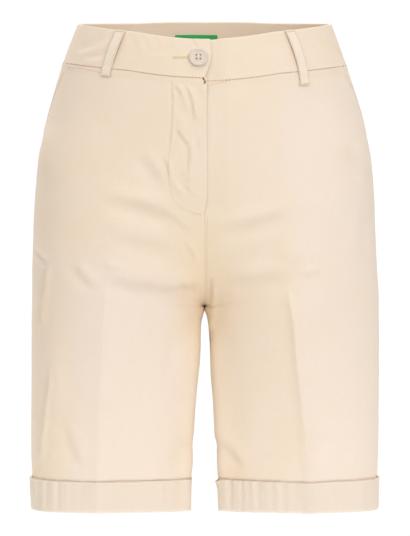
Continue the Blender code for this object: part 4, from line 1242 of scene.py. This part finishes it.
def makeButton():
    look = buttonLook
    place, _ = clothPoint(right, look["girth"], look["row"])
    along, _, outward = facing(right, look["girth"], look["row"])
    upward = np.cross(outward, along)
    place = place + outward * (cut["bandProud"] + 0.3)
    size, sharp = look["sides"], look["sharp"]
    turns = [2 * math.pi * number / size for number in range(size)]
    points = [
        place + outward * height + radius * (math.cos(turn) * along + math.sin(turn) * upward)
        for radius, height in look["profile"] for turn in turns
    ]
    item = makeObject("waistButton", points, barFaces(len(look["profile"]), size), resin, sharp=sharp)
    drills = []
    for x, y in ((-1, -1), (-1, 1), (1, -1), (1, 1)):
        shape = bmesh.new()
        bmesh.ops.create_cone(
            shape, cap_ends=True, segments=20, radius1=look["hole"] * millimetre,
            radius2=look["hole"] * millimetre, depth=12 * millimetre,
        )
        mesh = bpy.data.meshes.new("drill")
        shape.to_mesh(mesh)
        shape.free()
        drill = bpy.data.objects.new("drill", mesh)
        drill.location = Vector(place + look["holesAt"] * (along * x + upward * y)) * millimetre
        drill.rotation_mode = "QUATERNION"
        drill.rotation_quaternion = Vector(outward).to_track_quat("Z", "Y")
        bpy.context.scene.collection.objects.link(drill)
        drills.append(drill)
        boring = item.modifiers.new("hole", "BOOLEAN")
        boring.solver = "EXACT"
        boring.object = drill
    bpy.context.view_layer.update()
    drilled = item.evaluated_get(bpy.context.evaluated_depsgraph_get())
    mesh = bpy.data.meshes.new_from_object(drilled)
    item.modifiers.clear()
    item.data = mesh
    mesh.set_sharp_from_angle(angle=math.radians(sharp))
    for drill in drills:
        bpy.data.objects.remove(drill, do_unlink=True)
    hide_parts("waist_button")
    # thread crossed through the four holes, three strands each way
    centres, ways = [], []
    for way, sideways in ((along + upward, along - upward), (along - upward, along + upward)):
        for strand in (-1, 0, 1):
            centres.append(place + outward * 1.9 + sideways * 0.27 * strand)
            ways.append(way)
    capsules("buttonThread", centres, ways, [outward] * 6, (4.4, 0.42, 0.42), holeThread, bow=0.35)


makeButton()


def readSeam(place, outward, along, at):
    # points, ways and normals at some lengths along a seam
    middle = readAlong(place, along, at)
    return middle, unit(np.gradient(middle, axis=0)), readAlong(outward, along, at)


holeLook = {"from": -31.2, "to": -14.5, "z": -21.6, "bar": 1.25, "pitch": 0.46, "wide": 0.42, "high": 0.5}


def makeButtonhole():
    # close purl stitches on both sides of the slit, with a bar across its far end
    look = holeLook
    line = [(look["from"], look["z"]), (look["to"], look["z"])]
    place, outward = placeOn(panels["bandRight"], line, 0.2)
    along = lengthAlong(place[None], 1)[0]
    middle, way, out = readSeam(place, outward, along, np.arange(0.6, along[-1], look["pitch"]))
    up = np.cross(out, way)
    offset = 0.5 * look["bar"] + 0.22
    ups, outs = np.concatenate([up, up]), np.concatenate([out, out])
    centres = np.concatenate([middle + up * offset, middle - up * offset]) + outs * 0.12
    high, wide, pitch = look["high"], look["wide"], look["pitch"]
    capsules("buttonholePurl", centres, ups, outs, (look["bar"], wide, high), holeThread, bow=0.1)
    tack = [middle[0] + out[0] * 0.2 + up[0] * k * wide - way[0] * 0.5 for k in range(-4, 5)]
    capsules("buttonholeTack", tack, [way[0]] * 9, [out[0]] * 9, (1.5, wide, high), holeThread, bow=0.1)
    capsules("buttonholeSlit", middle + out * 0.04, way, out, (pitch * 1.6, 0.32, 0.12), thread)


makeButtonhole()

labelLook = {"girth": (-1.095, -0.775), "rows": (13.09, 13.64)}


def makeLabel():
    # bare ribbon sewn inside the back of the band
    girth = spread(labelLook["girth"], 60)
    rows = spread(labelLook["rows"], 14)[:, None]
    depth = cut["bandProud"] - cut["band"] - cut["layerGap"]
    wave = 0.10 * softNoise(girth * girthLong, rows * 40.0, 9.0, 71)
    item, _ = shell("waistLabel", right, girth, rows, satin, depth + wave, 0.8, 0.5)
    dress("waist_label")


makeLabel()


def makeZipChain():
    # coil teeth turn and turn about from both tapes
    along = lengthAlong(zipPlace[None], 1)[0]
    at = np.arange(2.0, along[-1] - 8.0, 0.5 * zipLook["pitch"])
    middle, way, out = readSeam(zipPlace, zipOut, along, at)
    across = np.cross(way, out)
    shift = np.where(np.arange(len(at)) % 2, 0.55, -0.55)[:, None]
    thick = zipLook["toothThick"]
    capsules(
        "zipCoil", middle + across * shift + out * 0.35, across, out, (zipLook["tooth"] * 1.6, thick, thick),
        tape,
    )
    return middle[-1], way[-1], across[-1], out[-1]


# the two parts of the slider, in mm: outline as (length, half width), place of its
# top up the zip and of its back in front of the tape, middle of its length, if that
# shrinks with the width, what the inset is a share of, height and inset of each ring
sliderParts = [
    # body round the coil
    ([(0.0, 3.4), (2.0, 4.3), (5.0, 4.1), (8.0, 3.0), (9.0, 2.0)], 6.5, 0.9, 4.5, 4.5,
     ((-0.3, 0.5), (0.0, 0.0), (0.3, 0.0), (0.5, 0.5))),
    # pull, a flat drop with a rounded end
    ([(0.0, 1.6), (5.0, 2.0), (16.0, 2.6), (20.0, 2.2), (22.0, 0.9)], 1.5, 1.42, None, 3.0,
     ((0.0, 0.3), (0.15, 0.0), (0.5, 0.0), (0.65, 0.3))),
]


def makeSlider(middle, way, across, out):
    points, faces = [], []
    for outline, top, front, centre, divisor, layers in sliderParts:
        outline = outline + [(x, -y) for x, y in reversed(outline)]
        faces += barFaces(len(layers), len(outline), len(points))
        for height, inset in layers:
            scale = 1 - inset / divisor
            for x, y in outline:
                down = x if centre is None else centre + (x - centre) * scale
                points.append(middle + way * (top - down) + across * y * scale + out * (front + height))
    item = makeObject("zipSlider", points, faces, brass, sharp=35.0)
    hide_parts("zip_slider")


makeSlider(*makeZipChain())
print("fly, button and label made")

stageLook = {
    "floor": -0.73, "floorWide": 1.0,    # m
    "low": 0.29, "high": 1.44, "ground": 1.03,       # the room's light from below and above, and as it shows
    "cool": (0.985, 1.0, 1.04), "neutral": (1.0, 1.0, 1.0), "warm": (1.0, 0.99, 0.965),
    "aim": (0.0, 0.0, -0.22),
}
# each lamp's name, place and size in m, power in W, tint
for name, place, size, power, tint in (
    ("keySoftbox", (1.25, -2.55, 0.25), 1.2, 24.0, "cool"),
    ("fillSoftbox", (-1.8, -2.1, 1.0), 1.2, 6.8, "neutral"),
    ("backSoftbox", (-1.4, 2.4, 1.5), 1.6, 20.0, "neutral"),
):
    lamp = bpy.data.lights.new(name, "AREA")
    lamp.color = stageLook[tint]
    lamp.shape = "DISK"
    lamp.size = size
    lamp.energy = power
    item = bpy.data.objects.new(name, lamp)
    item.location = place
    item.rotation_euler = (Vector(stageLook["aim"]) - Vector(place)).to_track_quat("-Z", "Y").to_euler()
    bpy.context.scene.collection.objects.link(item)

# the room is white paper: it shows whiter than it lights the cloth, a little warmer than the key
world = bpy.data.worlds.new("studioWhite")
bpy.context.scene.world = world
world.use_nodes = True
tree = world.node_tree
tree.nodes.clear()
seen = addNode(tree, "ShaderNodeLightPath", {})
way = addNode(tree, "ShaderNodeTexCoord", {})
height = addNode(tree, "ShaderNodeSeparateXYZ", {}, [("Vector", way.outputs["Generated"])])
lit = addNode(
    tree, "ShaderNodeMapRange",
    {"From Min": -0.1, "From Max": 0.9, "To Min": stageLook["low"], "To Max": stageLook["high"]},
    [("Value", height.outputs["Z"])],
)
level = addNode(
    tree, "ShaderNodeMix", {"data_type": "FLOAT", 3: stageLook["ground"]},
    [(0, seen.outputs["Is Camera Ray"]), (2, lit.outputs["Result"])],
)
shade = addNode(
    tree, "ShaderNodeMix",
    {"data_type": "RGBA", 6: stageLook["warm"] + (1.0,), 7: (1.0, 1.0, 1.0, 1.0)},
    [(0, seen.outputs["Is Camera Ray"])],
)
paper = addNode(
    tree, "ShaderNodeBackground", {}, [("Color", shade.outputs[2]), ("Strength", level.outputs[0])],
)
addNode(tree, "ShaderNodeOutputWorld", {}, [("Surface", paper.outputs["Background"])])

mesh = bpy.data.meshes.new("studioFloor")
shape = bmesh.new()
bmesh.ops.create_circle(shape, cap_ends=True, segments=96, radius=stageLook["floorWide"])
shape.to_mesh(mesh)
shape.free()
floor = bpy.data.objects.new("studioFloor", mesh)
floor.location = (0.0, 0.0, stageLook["floor"])
bpy.context.scene.collection.objects.link(floor)
mesh.materials.append(makePlain("paperMatt", "#F2F2F0", "#EFEFED", 0.9, 400.0, 0.0))

camera = bpy.data.cameras.new("camera")
camera.sensor_fit = "HORIZONTAL"
camera.sensor_width = 36.0
camera.lens = 215.2
cameraItem = bpy.data.objects.new("camera", camera)
cameraItem.location = (0.0003, -2.5, -0.228)
cameraItem.rotation_euler = (math.radians(90.0), 0.0, 0.0)
bpy.context.scene.collection.objects.link(cameraItem)
bpy.context.scene.camera = cameraItem
bpy.context.scene.view_settings.view_transform = "Standard"

print("stage set")
